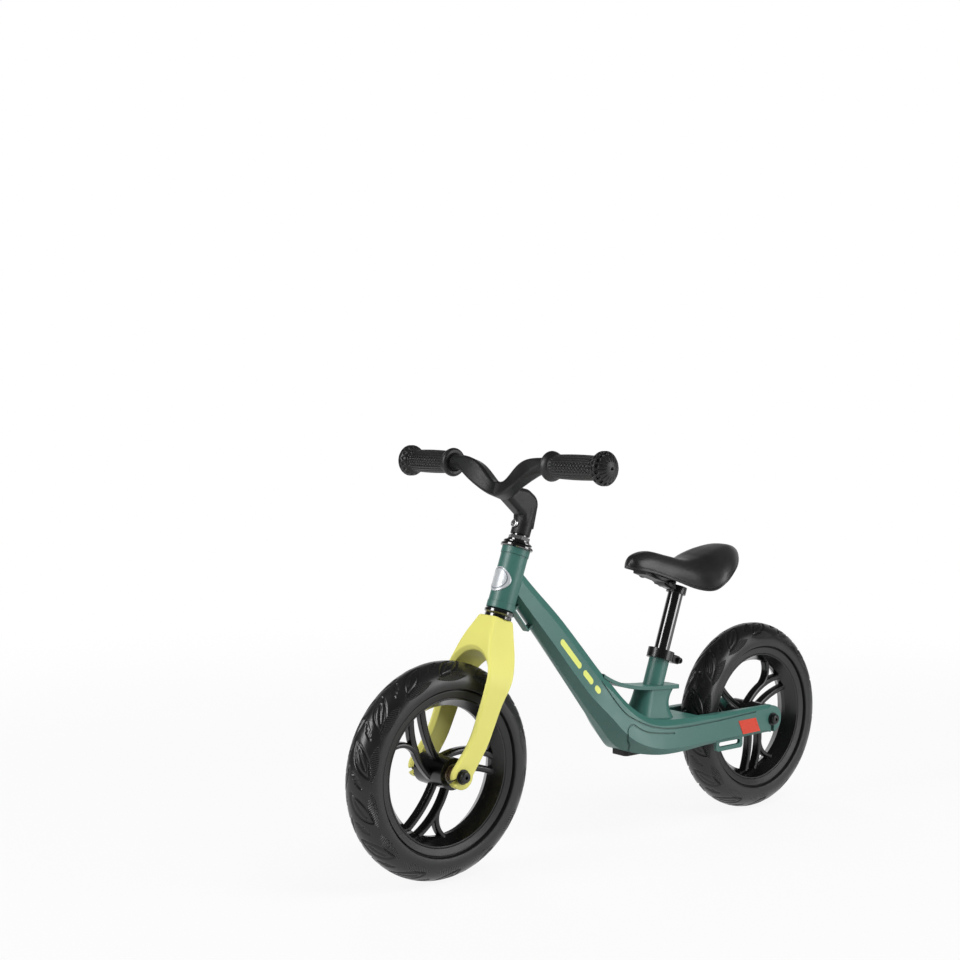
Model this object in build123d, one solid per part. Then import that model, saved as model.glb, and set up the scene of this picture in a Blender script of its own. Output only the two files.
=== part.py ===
from build123d import *
from collections import namedtuple
from math import ceil, cos, hypot, radians, sin, sqrt
import os

# A child's balance bike on foam tyres. +X is ahead, +Y is the rider's left and +Z is up.
# The origin is on the ground, midway between the two axles. All sizes are in millimetres and degrees.

# Layout of the bike
wheelbase = 600.0
tyre_diameter = 280.0
head_angle = 70.6
fork_rake = 28.0
seat_angle = 70.6
seat_axis_x = -66.0

# Clearances
press_gap = 0.05
running_gap = 0.05
slide_gap = 0.06
side_play = 0.4

# Tyre section
tyre_width = 52.0
tyre_groove_r = 106.0
tyre_groove_width = 2.6
tyre_groove_depth = 2.4
tyre_face_width = 44.0
tyre_bead_width = 38.6

# Moulded wheel
rim_seat_r = 95.0
rim_lip_wall = 2.0
rim_width = 38.0
rim_core_r = 83.5
rim_core_width = 7.0
rim_ridge_height = 6.0
rim_ridge_width = 16.0
spoke_groups = 3
spoke_width = 9.0
spoke_depth = 13.0
spoke_corner = 3.6
spoke_pitch = 20.0
spoke_bow = 9.0
spoke_lean = 4.0
brace_start_r = 44.0
brace_reach = 38.0
brace_bow = 6.0
brace_width = 7.5
front_spoke_turn = 66.0
rear_spoke_turn = 34.0
hub_diameter = 41.0
hub_width = 56.0

# Axles and bearings
bearing_diameter = 26.0
bearing_width = 8.0
bearing_shield_depth = 0.6
bearing_race_wall = 2.2
axle_diameter = 10.0
hub_sleeve_diameter = 15.0
end_spacer_diameter = 17.0
dropout_gap = 74.0
dropout_thickness = 10.0
rear_dropout_radius = 20.0
fork_dropout_radius = 16.5
axle_bolt_diameter = 6.0
axle_bolt_length = 28.0
axle_bolt_head_diameter = 15.0
axle_bolt_head_height = 6.4
socket_width = 5.0
socket_depth = 3.4
axle_washer_diameter = 19.0
axle_washer_thickness = 1.5

# Headset and steerer
head_tube_over_tyre = 80.0
head_tube_length = 83.0
head_tube_diameter = 36.4
head_tube_bore = 30.0
head_tube_band_height = 9.0
head_tube_band_step = 0.7
cup_insert_depth = 9.0
cup_wall = 1.6
lower_cup_diameter = 39.6
lower_cup_edge = 2.4
upper_cup_edge = 1.4
lower_cup_height = 8.0
upper_cup_diameter = 43.4
upper_cup_height = 5.0
cup_pocket_r = 17.2
cup_pocket_depth = 3.8
headset_ring_r = 12.4
crown_race_diameter = 36.0
crown_race_height = 3.5
headset_play = 0.5
cone_nut_diameter = 30.0
cone_nut_height = 6.0
cone_flange_diameter = 38.6
cone_flange_height = 3.6
cone_flange_edge = 1.2
lock_nut_width = 26.0
lock_nut_height = 5.0
steerer_diameter = 22.2
steerer_wall = 2.0
steerer_seat_depth = 22.0

# Fork casting, in the steering frame: x ahead of the steering axis, t up along it from the axle
crown_half_width = 16.0
crown_front = 20.0
crown_back = 15.5
fork_shoulder_rise = 5.0
fork_shoulder_round = 60.0
fork_arch_clearance = 20.0
crown_knee_back = 20.5
crown_knee_drop = 58.0
crown_brow_front = 28.0
crown_brow_drop = 34.0
leg_mid_drop = 23.0
leg_mid_front = 27.0
leg_mid_back = 7.0
leg_low_height = 45.0
leg_low_front = 28.5
leg_low_back = 1.5
fork_edge_round = 4.0
fork_edge_bevel = 5.0
fork_lobe_height = 30.0
slanted = 0.9
fork_side_round = 120.0
fork_lobe_angle = 25.0
fork_slot_angle = 60.0
rear_slot_angle = 90.0
slot_clearance = 1.0

# Handlebar and stem moulding, in the steering frame
stem_foot_gap = 2.5
stem_diameter = 26.4
stem_depth = 46.0
stem_half_width = 12.5
stem_knee_back = 9.0
stem_knee_height = 53.0
stem_knee_round = 17.0
stem_core_height = 44.0
stem_top_height = 60.0
stem_under_front = 13.0
stem_under_height = 24.0
stem_edge_round = 7.0
bar_centre_ahead = 53.0
bar_centre_height = 45.0
bar_reach = 63.5
bar_rise = 32.5
bar_diameter = 22.2
bar_length = 402.0
bar_root_height = 21.0
bar_root_depth = 21.0
bar_arm_height = 29.0
bar_arm_depth = 19.0
bar_corner = 4.0
bar_neck_length = 14.0
bar_neck_sink = 2.0
bar_shoulder_out = 60.0
bar_shoulder_drop = 6.0
bar_shoulder_slim = 3.0
bar_elbow_out = 36.0
bar_elbow_drop = 17.0
bar_elbow_back = 4.0
bar_root_out = 15.0
bar_root_rise = 3.0
bar_neck = 20.4
bar_neck_corner = 9.0
grip_start = 95.0
grip_flange_diameter = 39.0
grip_flange_width = 9.0
grip_neck_diameter = 30.0
grip_body_diameter = 32.0
grip_end_diameter = 43.0
grip_end_width = 23.0
grip_nose_share = 0.72
grip_nose_drop = 0.24
grip_heel_share = 0.9
grip_heel_rise = 3.0
grip_flange_root = 3.0
grip_rim_width = 5.0
grip_rim_share = 0.94
grip_rim_round = 1.0
grip_back_share = 0.92
grip_back_round = 0.8
grip_mouth_share = 0.9
grip_end_wall = 5.0
stem_bolt_diameter = 6.0
stem_bolt_head_diameter = 11.0
stem_bolt_head_height = 3.5
stem_bolt_height = 12.0

# Frame casting: ridged sections from the head tube down to the rear arms, with heights above the axle line.
# Each has an upper and a lower outline point, the half widths of its flat top, shoulder, belly and base,
# and the depths of its shoulder and keel. The first two are set ahead of and above the head tube's foot.
Section = namedtuple("Section", "top low flat shoulder edge belly keel base")
tube_head = Section((-10.4, 56.4), (2.1, 28.7), 7.0, 11.0, 9.0, 13.0, 4.0, 2.0)
tube_neck = Section((-38.4, 43.0), (-23.7, 12.4), 7.5, 12.0, 10.0, 13.5, 5.0, 2.0)
tube_mid = Section((97.5, 176.8), (127.0, 146.5), 8.0, 13.0, 11.0, 16.0, 6.5, 2.0)
tube_brace = Section((24.0, 98.5), (58.0, 63.0), 9.0, 15.0, 11.0, 20.0, 9.0, 5.0)
shell_bend = Section((8.0, 82.0), (26.0, 26.0), 12.0, 20.0, 11.0, 27.0, 14.0, 7.0)
shell_front = Section((-26.0, 46.0), (-10.0, -12.0), 20.0, 30.0, 10.0, 38.0, 16.0, 14.0)
shell_mid = Section((-62.0, 26.0), (-62.0, -23.0), 33.0, 42.0, 8.0, 46.5, 9.0, 41.0)
shell_step = 26.0
tyre_clearance = 14.0
groove_width = 1.8
groove_depth = 1.3
crease_line = (
    (28.2, 87.5),
    (21.6, 77.5),
    (12.0, 62.4),
    (1.1, 47.9),
    (-8.9, 37.5),
    (-20.3, 30.7),
    (-33.0, 23.8),
    (-48.2, 17.7),
    (-68.3, 13.6),
    (-88.2, 11.9),
    (-123.9, 11.4),
    (-166.4, 12.5),
    (-212.8, 13.9),
    (-261.3, 15.2),
)
crease_round = 30.0
panel_line = (
    (-26.0, -22.5),
    (-19.0, -12.9),
    (-14.5, -3.8),
    (-9.9, 1.5),
    (-4.7, 10.7),
    (-4.8, 14.5),
    (-6.4, 19.0),
    (-10.7, 22.9),
    (-18.3, 23.8),
    (-24.8, 18.9),
    (-31.1, 14.6),
    (-42.3, 10.6),
    (-56.4, 8.3),
    (-71.6, 6.6),
    (-87.8, 5.1),
)
panel_round = 6.0
arm_top = 21.0
arm_low = -19.5
arm_outer_mid = 49.5
arm_wall_mid = 16.0
arm_start_x = -150.0
arm_start_inset = 4.5
arm_mid_x = -176.0
arm_tab_overlap = 6.0
arm_straight = 24.0
arm_edge = 4.0

# Saddle pillar, seat tube and brace
seat_tube_diameter = 29.2
seat_tube_top = 121.5
pillar_top_z = 64.0
pillar_waist_z = 44.0
pillar_foot_z = 10.0
pillar_top_front = -60.0
pillar_top_back = -126.0
pillar_waist_front = -53.0
pillar_waist_back = -112.0
pillar_foot_front = -37.0
pillar_foot_back = -124.0
pillar_top_half = 17.0
pillar_waist_half = 19.0
pillar_foot_half = 30.0
pillar_corner = 15.0
brace_front = (20.0, 96.0)
brace_mid = (-30.0, 75.5)
brace_seat = (-75.0, 69.5)
brace_tail = (-132.0, 65.5)
brace_thickness = 5.5
brace_front_half = 12.0
brace_tail_half = 18.0
brace_corner = 11.0
post_bore_depth = 128.0

# Strap fittings, pad, badge and reflectors
tab_front_x = -176.0
tab_back_x = -234.0
tab_low_z = -34.0
tab_thickness = 5.0
tab_corner = 5.0
slot_margin = 6.0
strap_slot_height = 7.0
strap_slot_z = -24.5
loop_length = 40.0
loop_gap = 6.8
loop_bar = 2.4
loop_half_width = 5.5
pad_length = 34.0
pad_width = 30.0
pad_blank_height = 10.0
pad_corner = 6.0
pad_low_z = -24.5
pad_x = -38.0
badge_diameter = 33.0
badge_thickness = 1.0
badge_height = 37.0
reflector_length = 40.0
reflector_height = 21.0
reflector_slant = 11.0
reflector_thickness = 0.5
reflector_x = -246.0
reflector_z = -4.0

# Seat post, clamp and saddle
post_diameter = 22.2
post_wall = 2.0
post_foot = 40.0
post_top = 219.0
post_plug_height = 6.0
post_plug_step = 0.4
post_plug_lip = 2.0
clamp_height = 14.0
clamp_wall = 4.5
clamp_lip = 2.0
clamp_slit = 2.6
clamp_ear_length = 20.0
clamp_ear_thickness = 5.5
clamp_bolt_diameter = 5.0
clamp_bolt_head_diameter = 9.0
clamp_nut_height = 4.0
clamp_bolt_head_height = 5.0
clamp_bolt_out = 13.5
saddle_band_wall = 3.2
saddle_band_height = 11.0
saddle_pivot_ahead = 28.0
saddle_pivot_drop = 0.9
saddle_lug_width = 14.0
saddle_lug_round = 8.5
saddle_bolt_diameter = 6.0
saddle_nut_width = 10.0
saddle_nut_height = 5.0
saddle_cheek_wall = 5.0
saddle_pan_thickness = 4.0
saddle_keel_front = (52.0, 14.0)
saddle_keel_low = (8.0, -1.0)
saddle_keel_back = (-10.0, -11.0)
saddle_keel_top = 26.0
saddle_keel_play = 0.4
saddle_yoke_reach = 12.0
saddle_yoke_floor = -15.0
saddle_thread_past = 1.5

# Saddle cushion: sections along its length, each with its half width, rim height and crown height,
# all measured from the saddle's pivot
Cushion = namedtuple("Cushion", "x half rim crown")
saddle_sections = (
    Cushion(76.0, 5.0, 24.5, 31.0),
    Cushion(67.0, 14.0, 21.5, 41.5),
    Cushion(40.0, 20.0, 15.0, 46.2),
    Cushion(6.0, 27.0, 3.0, 39.0),
    Cushion(-26.0, 41.0, -10.0, 32.0),
    Cushion(-48.0, 54.0, -12.0, 34.0),
    Cushion(-68.0, 59.0, -1.0, 39.5),
    Cushion(-91.0, 53.0, 12.0, 45.5),
    Cushion(-116.0, 38.0, 21.0, 49.5),
    Cushion(-136.0, 21.0, 29.5, 46.0),
    Cushion(-145.0, 8.0, 35.0, 41.0),
)
saddle_waist_share = 0.985
saddle_hollow_share = 0.36
saddle_shoulder_share = 0.8
saddle_shoulder_rise = 0.66
saddle_pan_share = 0.8
saddle_pan_gap = 0.4

# Frames of reference. Everything is built from the axle line and then raised by the axles' height.
axle_height = tyre_diameter / 2
front_axle = Vector(wheelbase / 2, 0, 0)
rear_axle = Vector(-wheelbase / 2, 0, 0)


def leaning_plane(foot, angle):
    """A frame whose z runs up an axis that leans back, with x square to it and ahead."""
    up = Vector(-cos(radians(angle)), 0, sin(radians(angle)))
    ahead = Vector(sin(radians(angle)), 0, cos(radians(angle)))
    return Plane(origin=foot, x_dir=ahead, z_dir=up)


steer_ahead = Vector(sin(radians(head_angle)), 0, cos(radians(head_angle)))
steering = leaning_plane(front_axle - steer_ahead * fork_rake, head_angle).location
seating = leaning_plane(Vector(seat_axis_x, 0, 0), seat_angle).location
sideways = Rot(-90, 0, 0)
saddle_place = Pos((seating * Pos(saddle_pivot_ahead, 0, post_top - saddle_pivot_drop)).position)
head_tube_foot = axle_height + head_tube_over_tyre
head_tube_top = head_tube_foot + head_tube_length
crown_top = head_tube_foot - lower_cup_height - headset_play - crown_race_height
cone_nut_foot = head_tube_top + upper_cup_height + headset_play
lock_nut_foot = cone_nut_foot + cone_nut_height
stem_foot = lock_nut_foot + lock_nut_height + stem_foot_gap
dropout_face = dropout_gap / 2 + dropout_thickness
fork_arch_top = tyre_diameter / 2 + fork_arch_clearance
arm_flank = arm_outer_mid - arm_edge
shell_back = Section(
    (arm_mid_x, arm_top),
    (arm_mid_x, arm_low),
    arm_flank,
    arm_outer_mid,
    arm_edge,
    arm_outer_mid,
    arm_edge,
    arm_flank,
)


def tube(outer_r, inner_r, low, high):
    """A round tube along z."""
    return Pos(0, 0, low) * extrude(Circle(outer_r) - Circle(inner_r), high - low)


def rod(radius, low, high):
    """A round bar along z."""
    return Pos(0, 0, low) * extrude(Circle(radius), high - low)


def turned(*points):
    """A closed outline of (radius, z) points, turned about z."""
    return revolve(Plane.XZ * make_face(Polyline(*points, close=True)), Axis.Z)


def side_face(*points):
    """A closed outline of (x, z) points on the bike's middle plane."""
    return Plane.XZ * make_face(Polyline(*points, close=True))


def both_sides(shape):
    """A shape and its mirror image on the other side of the bike."""
    return shape + mirror(shape, Plane.XZ)


# Tyre and moulded wheel, with the wheel's axis along z
def tyre():
    section_r = tyre_width / 2
    centre_r = tyre_diameter / 2 - section_r
    wall_r = tyre_groove_r + tyre_groove_width / 2
    wall_z = sqrt(section_r**2 - (centre_r - wall_r) ** 2)
    face_r = tyre_groove_r - tyre_groove_width / 2
    face_z = tyre_face_width / 2
    bead_r = rim_seat_r + press_gap
    bead_z = tyre_bead_width / 2
    key_r = bead_r + rim_ridge_height
    key_z = rim_ridge_width / 2 + press_gap
    half = [
        (bead_r, key_z),
        (bead_r, bead_z),
        (face_r, face_z),
        (tyre_groove_r, face_z - tyre_groove_depth),
        (wall_r, wall_z),
    ]
    lower = [(r, -z) for r, z in reversed(half)]
    crown = ThreePointArc((wall_r, wall_z), (tyre_diameter / 2, 0), (wall_r, -wall_z))
    inner = Polyline(*lower, (key_r, -key_z), (key_r, key_z), *half)
    return revolve(Plane.XZ * make_face(crown + inner), Axis.Z)


def spoke(start, end, bow, width):
    """A bar bowed sideways between two points of the wheel's middle plane."""
    path = SagittaArc(start, end, bow)
    section = Plane(origin=path @ 0, x_dir=Vector(0, 0, 1), z_dir=path % 0)
    return sweep(section * RectangleRounded(spoke_depth, width, spoke_corner), path)


def wheel():
    lip_r = rim_seat_r - rim_lip_wall
    half = rim_width / 2
    core = rim_core_width / 2
    ridge = rim_ridge_width / 2
    ridge_r = rim_seat_r + rim_ridge_height
    body = turned(
        (rim_core_r, core),
        (lip_r, half),
        (rim_seat_r, half),
        (rim_seat_r, ridge),
        (ridge_r, ridge),
        (ridge_r, -ridge),
        (rim_seat_r, -ridge),
        (rim_seat_r, -half),
        (lip_r, -half),
        (rim_core_r, -core),
    )
    body += rod(hub_diameter / 2, -hub_width / 2, hub_width / 2)
    rim_mid = rim_core_r + rim_lip_wall
    side_v = spoke_lean - spoke_pitch
    brace_v = side_v - spoke_bow * 1.1
    brace_end_v = side_v - brace_reach
    arms = spoke((0, spoke_lean), (rim_mid, spoke_lean), -spoke_bow * 0.7, spoke_width)
    arms += spoke((0, side_v), (sqrt(rim_mid**2 - side_v**2), side_v), -spoke_bow, spoke_width)
    brace_end = (sqrt(rim_mid**2 - brace_end_v**2), brace_end_v)
    arms += spoke((brace_start_r, brace_v), brace_end, brace_bow, brace_width)
    for group in range(spoke_groups):
        body += Rot(0, 0, 360 / spoke_groups * group) * arms
    seat_z = hub_width / 2 - bearing_width - press_gap
    body -= rod(hub_sleeve_diameter / 2 + side_play, -hub_width, hub_width)
    body -= rod(bearing_diameter / 2 + press_gap, seat_z, hub_width)
    body -= rod(bearing_diameter / 2 + press_gap, -hub_width, -seat_z)
    return body


def bearing():
    """One sealed ball bearing with recessed shields."""
    outer = bearing_diameter / 2
    inner = axle_diameter / 2 + running_gap
    ring = tube(outer, inner, 0, bearing_width)
    shield = tube(outer - bearing_race_wall, inner + bearing_race_wall, 0, bearing_shield_depth)
    return ring - shield - Pos(0, 0, bearing_width - bearing_shield_depth) * shield


def bolt(diameter, length, head_diameter, head_height):
    """A domed socket screw along z with its head's seat at zero."""
    head_r = head_diameter / 2
    crown = extrude(Circle(head_r), head_height)
    crown = fillet(crown.edges().group_by(Axis.Z)[-1], head_height * 0.4)
    socket = extrude(RegularPolygon(socket_width / 2, 6), socket_depth)
    socket = Pos(0, 0, head_height - socket_depth) * socket
    return crown + rod(diameter / 2, -length, 0) - socket


def two_ends(shape):
    """A piece on the +z end and its twin turned round to the other end."""
    return [shape, Rot(180, 0, 0) * shape]


def wheel_set(axle, spoke_turn):
    """All the pieces of one wheel, turned upright and moved to its axle."""
    upright = Pos(*axle) * Rot(90, 0, 0)
    half_gap = dropout_gap / 2
    bearing_low = hub_width / 2 - bearing_width
    sleeve_end = bearing_low - side_play
    spacer_low = hub_width / 2 + side_play
    axle_bore = axle_bolt_diameter / 2 + press_gap
    shaft_r = axle_diameter / 2
    shaft = rod(shaft_r, -half_gap, half_gap)
    hole_depth = axle_bolt_length - dropout_thickness - axle_washer_thickness + press_gap
    for end in two_ends(rod(axle_bore, half_gap - hole_depth, half_gap)):
        shaft -= end
    washer = tube(axle_washer_diameter / 2, axle_bore, dropout_face, dropout_face + axle_washer_thickness)
    screw = bolt(axle_bolt_diameter, axle_bolt_length, axle_bolt_head_diameter, axle_bolt_head_height)
    screw = Pos(0, 0, dropout_face + axle_washer_thickness) * screw
    seat_r = shaft_r + press_gap
    pieces = {
        "tyre": [tyre()],
        "wheel": [Rot(0, 0, spoke_turn) * wheel()],
        "bearings": two_ends(Pos(0, 0, bearing_low) * bearing()),
        "hub_sleeve": [tube(hub_sleeve_diameter / 2, seat_r, -sleeve_end, sleeve_end)],
        "axle": [shaft],
        "axle_spacers": two_ends(tube(end_spacer_diameter / 2, seat_r, spacer_low, half_gap)),
        "axle_washers": two_ends(washer),
        "axle_bolts": two_ends(screw),
    }
    return {name: [upright * shape for shape in group] for name, group in pieces.items()}


def axle_slot(angle):
    """A slot cutter from the axle out of the dropout, across the whole bike, pointing down at an angle."""
    width = axle_bolt_diameter + slot_clearance
    reach = 2 * rear_dropout_radius
    slot = Circle(width / 2) + Pos(reach / 2, 0) * Rectangle(reach, width)
    return extrude(Plane.XZ * (Rot(0, 0, -angle) * slot), 2 * dropout_face, both=True)


# Headset, in the steering frame
def headset():
    steerer_r = steerer_diameter / 2
    seat_r = steerer_r + press_gap
    free_r = steerer_r + side_play
    insert_r = head_tube_bore / 2 - press_gap
    insert_inner = insert_r - cup_wall
    low_rim = head_tube_foot - lower_cup_height
    low_floor = low_rim + cup_pocket_depth
    high_rim = head_tube_top + upper_cup_height
    high_floor = high_rim - cup_pocket_depth
    low_r = lower_cup_diameter / 2
    high_r = upper_cup_diameter / 2
    lower_cup = turned(
        (cup_pocket_r, low_rim),
        (low_r - lower_cup_edge, low_rim),
        (low_r, low_rim + lower_cup_edge),
        (low_r, head_tube_foot - lower_cup_edge),
        (low_r - lower_cup_edge, head_tube_foot),
        (insert_r, head_tube_foot),
        (insert_r, head_tube_foot + cup_insert_depth),
        (insert_inner, head_tube_foot + cup_insert_depth),
        (insert_inner, low_floor),
        (cup_pocket_r, low_floor),
    )
    upper_cup = turned(
        (cup_pocket_r, high_rim),
        (high_r - upper_cup_edge, high_rim),
        (high_r, high_rim - upper_cup_edge),
        (high_r, head_tube_top + upper_cup_edge),
        (high_r - upper_cup_edge, head_tube_top),
        (insert_r, head_tube_top),
        (insert_r, head_tube_top - cup_insert_depth),
        (insert_inner, head_tube_top - cup_insert_depth),
        (insert_inner, high_floor),
        (cup_pocket_r, high_floor),
    )
    ring_r = cup_pocket_r - press_gap
    cone_r = cone_nut_diameter / 2
    flange_r = cone_flange_diameter / 2
    flange_top = cone_nut_foot + cone_flange_height
    cone_nut = turned(
        (seat_r, cone_nut_foot),
        (flange_r - cone_flange_edge, cone_nut_foot),
        (flange_r, cone_nut_foot + cone_flange_edge),
        (flange_r, flange_top - cone_flange_edge),
        (flange_r - cone_flange_edge, flange_top),
        (cone_r, flange_top),
        (cone_r, lock_nut_foot),
        (seat_r, lock_nut_foot),
    )
    lock_hex = extrude(RegularPolygon(lock_nut_width / 2, 6, major_radius=False), lock_nut_height)
    return {
        "lower_cup": lower_cup,
        "lower_bearing": tube(ring_r, headset_ring_r, low_rim, low_floor),
        "crown_race": tube(crown_race_diameter / 2, seat_r, crown_top, crown_top + crown_race_height),
        "upper_cup": upper_cup,
        "upper_bearing": tube(ring_r, headset_ring_r, high_floor, high_rim),
        "cone_nut": cone_nut,
        "lock_nut": Pos(0, 0, lock_nut_foot) * lock_hex - rod(seat_r, 0, 2 * lock_nut_foot),
        "steerer_tube": steerer(),
    }


def steerer():
    radius = steerer_diameter / 2
    top = stem_foot + stem_depth
    body = tube(radius, radius - steerer_wall, crown_top - steerer_seat_depth, top)
    hole = Plane.YZ * Circle(stem_bolt_diameter / 2 + press_gap)
    return body - Pos(0, 0, stem_foot + stem_bolt_height) * extrude(hole, stem_diameter)


# Fork casting, in the steering frame
def on_fork_rim(edge, arch_r, spring):
    """Whether an edge runs down the outside of the fork or round the top of its crown."""
    spot = edge @ 0.5
    along = edge % 0.5
    if abs(spot.Z - crown_top) < press_gap:
        return edge.geom_type == GeomType.LINE
    outside = hypot(spot.Y, max(0, spot.Z - spring)) > arch_r + fork_edge_round / 2
    crosswise = abs(along.Y) > slanted or abs(along.X) > slanted
    return outside and spot.Z > fork_lobe_height and not crosswise


def fork():
    leg_outer = dropout_face
    arch_r = dropout_gap / 2
    low = -2 * fork_dropout_radius
    spring = fork_arch_top - arch_r
    shoulder = spring + fork_shoulder_rise
    leg_mid_height = spring - leg_mid_drop
    front = make_face(
        Polyline(
            (-crown_half_width, crown_top),
            (crown_half_width, crown_top),
            (leg_outer, shoulder),
            (leg_outer, low),
            (-leg_outer, low),
            (-leg_outer, shoulder),
            close=True,
        )
    )
    front = fillet(front.vertices().group_by(Axis.Y)[1], fork_shoulder_round)
    arch = Pos(0, spring) * Circle(arch_r)
    opening = Pos(0, (spring + low) / 2) * Rectangle(dropout_gap, spring - low)
    front = front - arch - opening
    lobe_front = fork_rake + fork_dropout_radius * cos(radians(fork_lobe_angle))
    lobe_rise = fork_dropout_radius * sin(radians(fork_lobe_angle))
    side = make_face(
        Polyline(
            (-crown_back, crown_top),
            (crown_front, crown_top),
            (crown_brow_front, crown_top - crown_brow_drop),
            (leg_mid_front, leg_mid_height),
            (leg_low_front, leg_low_height),
            (lobe_front, lobe_rise),
            (fork_rake, 0),
            (fork_rake - fork_dropout_radius, 0),
            (-leg_low_back, leg_low_height),
            (-leg_mid_back, leg_mid_height),
            (-crown_knee_back, crown_top - crown_knee_drop),
            close=True,
        )
    )
    bends = [v for v in side.vertices() if lobe_rise + press_gap < v.Y < crown_top - press_gap]
    side = fillet(bends, fork_side_round)
    side = side + Pos(fork_rake, 0) * Circle(fork_dropout_radius)
    body = extrude(Plane.YZ * front, 4 * fork_dropout_radius, both=True)
    body &= extrude(Plane.XZ * side, leg_outer, both=True)
    body -= rod(steerer_diameter / 2 + press_gap, crown_top - steerer_seat_depth, crown_top)
    slot_tilt = fork_slot_angle - (90 - head_angle)
    body -= Pos(fork_rake, 0, 0) * axle_slot(slot_tilt)
    rims = [edge for edge in body.edges() if on_fork_rim(edge, arch_r, spring)]
    body = fillet(rims, fork_edge_round)
    leg_fronts = [
        edge
        for edge in body.edges()
        if abs(abs(edge.center().Y) - arch_r) < press_gap
        and edge.center().X > fork_rake / 2
        and lobe_rise < edge.center().Z < spring
    ]
    return chamfer(leg_fronts, fork_edge_bevel)


# Handlebar, stem bolt and grips, in the steering frame
def bar_section(y, ahead, height, tall, deep, corner):
    plane = Plane(origin=(ahead, y, stem_foot + height), x_dir=(1, 0, 0), z_dir=(0, -1, 0))
    return plane * RectangleRounded(deep, tall, corner)


def handlebar():
    bar_height = bar_centre_height + bar_rise
    shoulder = bar_height - bar_shoulder_drop
    shoulder_tall = bar_arm_height - bar_shoulder_slim
    elbow = bar_height - bar_elbow_drop
    elbow_ahead = bar_reach - bar_elbow_back
    root = bar_centre_height + bar_root_rise
    half = [
        bar_section(grip_start + bar_neck_sink, bar_reach, bar_height, bar_neck, bar_neck, bar_neck_corner),
        bar_section(grip_start - bar_neck_length, bar_reach, bar_height, bar_neck, bar_neck, bar_neck_corner),
        bar_section(bar_shoulder_out, bar_reach, shoulder, shoulder_tall, bar_arm_depth, bar_corner),
        bar_section(bar_elbow_out, elbow_ahead, elbow, bar_arm_height, bar_arm_depth, bar_corner),
        bar_section(bar_root_out, bar_centre_ahead, root, bar_root_height, bar_root_depth, bar_corner),
    ]
    middle = bar_section(0, bar_centre_ahead, bar_centre_height, bar_root_height, bar_root_depth, bar_corner)
    end = sideways * rod(bar_diameter / 2, grip_start, bar_length / 2)
    end = Pos(bar_reach, 0, stem_foot + bar_height) * end
    body = both_sides(loft([*half, middle]) + end)
    core = rod(stem_diameter / 2, stem_foot, stem_foot + stem_core_height)
    body += fillet(core.edges().group_by(Axis.Z)[-1], stem_edge_round)
    hook = make_face(
        Polyline(
            (-stem_diameter / 2, stem_foot + stem_under_height / 2),
            (stem_knee_back, stem_foot + stem_under_height / 2),
            (stem_under_front, stem_foot + stem_under_height),
            (bar_centre_ahead - bar_root_depth / 5, stem_foot + bar_centre_height - bar_root_height / 3),
            (bar_centre_ahead, stem_foot + bar_centre_height + bar_root_height * 2 / 5),
            (stem_diameter / 2, stem_foot + stem_top_height),
            (-stem_knee_back, stem_foot + stem_knee_height),
            close=True,
        )
    )
    knee = [v for v in hook.vertices() if v.Y > stem_foot + stem_core_height and v.X < bar_centre_ahead / 2]
    hook = fillet(knee, stem_knee_round)
    hook = extrude(Plane.XZ * hook, stem_half_width, both=True)
    flanks = hook.faces().sort_by(Axis.Y)
    body += fillet(flanks[0].edges() + flanks[-1].edges(), stem_edge_round)
    body -= rod(steerer_diameter / 2 + press_gap, stem_foot, stem_foot + stem_depth + press_gap)
    hole = Plane.YZ * Circle(stem_bolt_diameter / 2 + press_gap)
    return body - Pos(0, 0, stem_foot + stem_bolt_height) * extrude(hole, stem_diameter)


def stem_bolt():
    shank = stem_diameter / 2 - steerer_diameter / 2 + steerer_wall
    screw = bolt(stem_bolt_diameter, shank, stem_bolt_head_diameter, stem_bolt_head_height)
    return Pos(stem_diameter / 2, 0, stem_foot + stem_bolt_height) * Rot(0, 90, 0) * screw


def grip():
    """The left grip, turned about its bore."""
    bore = bar_diameter / 2 + press_gap
    bore_end = bar_length / 2 + press_gap
    end = bore_end + grip_end_wall
    flange = grip_flange_diameter / 2
    bulb = grip_end_diameter / 2
    body_r = grip_body_diameter / 2
    neck_r = grip_neck_diameter / 2
    flange_end = grip_start + grip_flange_width
    bulb_start = end - grip_end_width
    waist = (flange_end + bulb_start) / 2
    outline = Polyline((bore, bore_end), (0, bore_end), (0, end))
    widest = end - grip_end_width / 2
    nose = (bulb * grip_nose_share, end - bulb * grip_nose_drop)
    outline += ThreePointArc((0, end), nose, (bulb, widest))
    heel = (bulb * grip_heel_share, bulb_start + grip_heel_rise)
    outline += ThreePointArc((bulb, widest), heel, (neck_r, bulb_start))
    root = flange_end + grip_flange_root
    rim = flange_end - grip_rim_width
    outline += ThreePointArc((neck_r, bulb_start), (body_r, waist), (neck_r, root))
    brow = (flange * grip_rim_share, flange_end - grip_rim_round)
    outline += ThreePointArc((neck_r, root), brow, (flange, rim))
    mouth = neck_r * grip_mouth_share
    back = (flange * grip_back_share, grip_start + grip_back_round)
    outline += ThreePointArc((flange, rim), back, (mouth, grip_start))
    outline += Polyline((mouth, grip_start), (bore, grip_start), (bore, bore_end))
    body = sideways * revolve(Plane.XZ * make_face(outline), Axis.Z)
    return Pos(bar_reach, 0, stem_foot + bar_centre_height + bar_rise) * body


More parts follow.
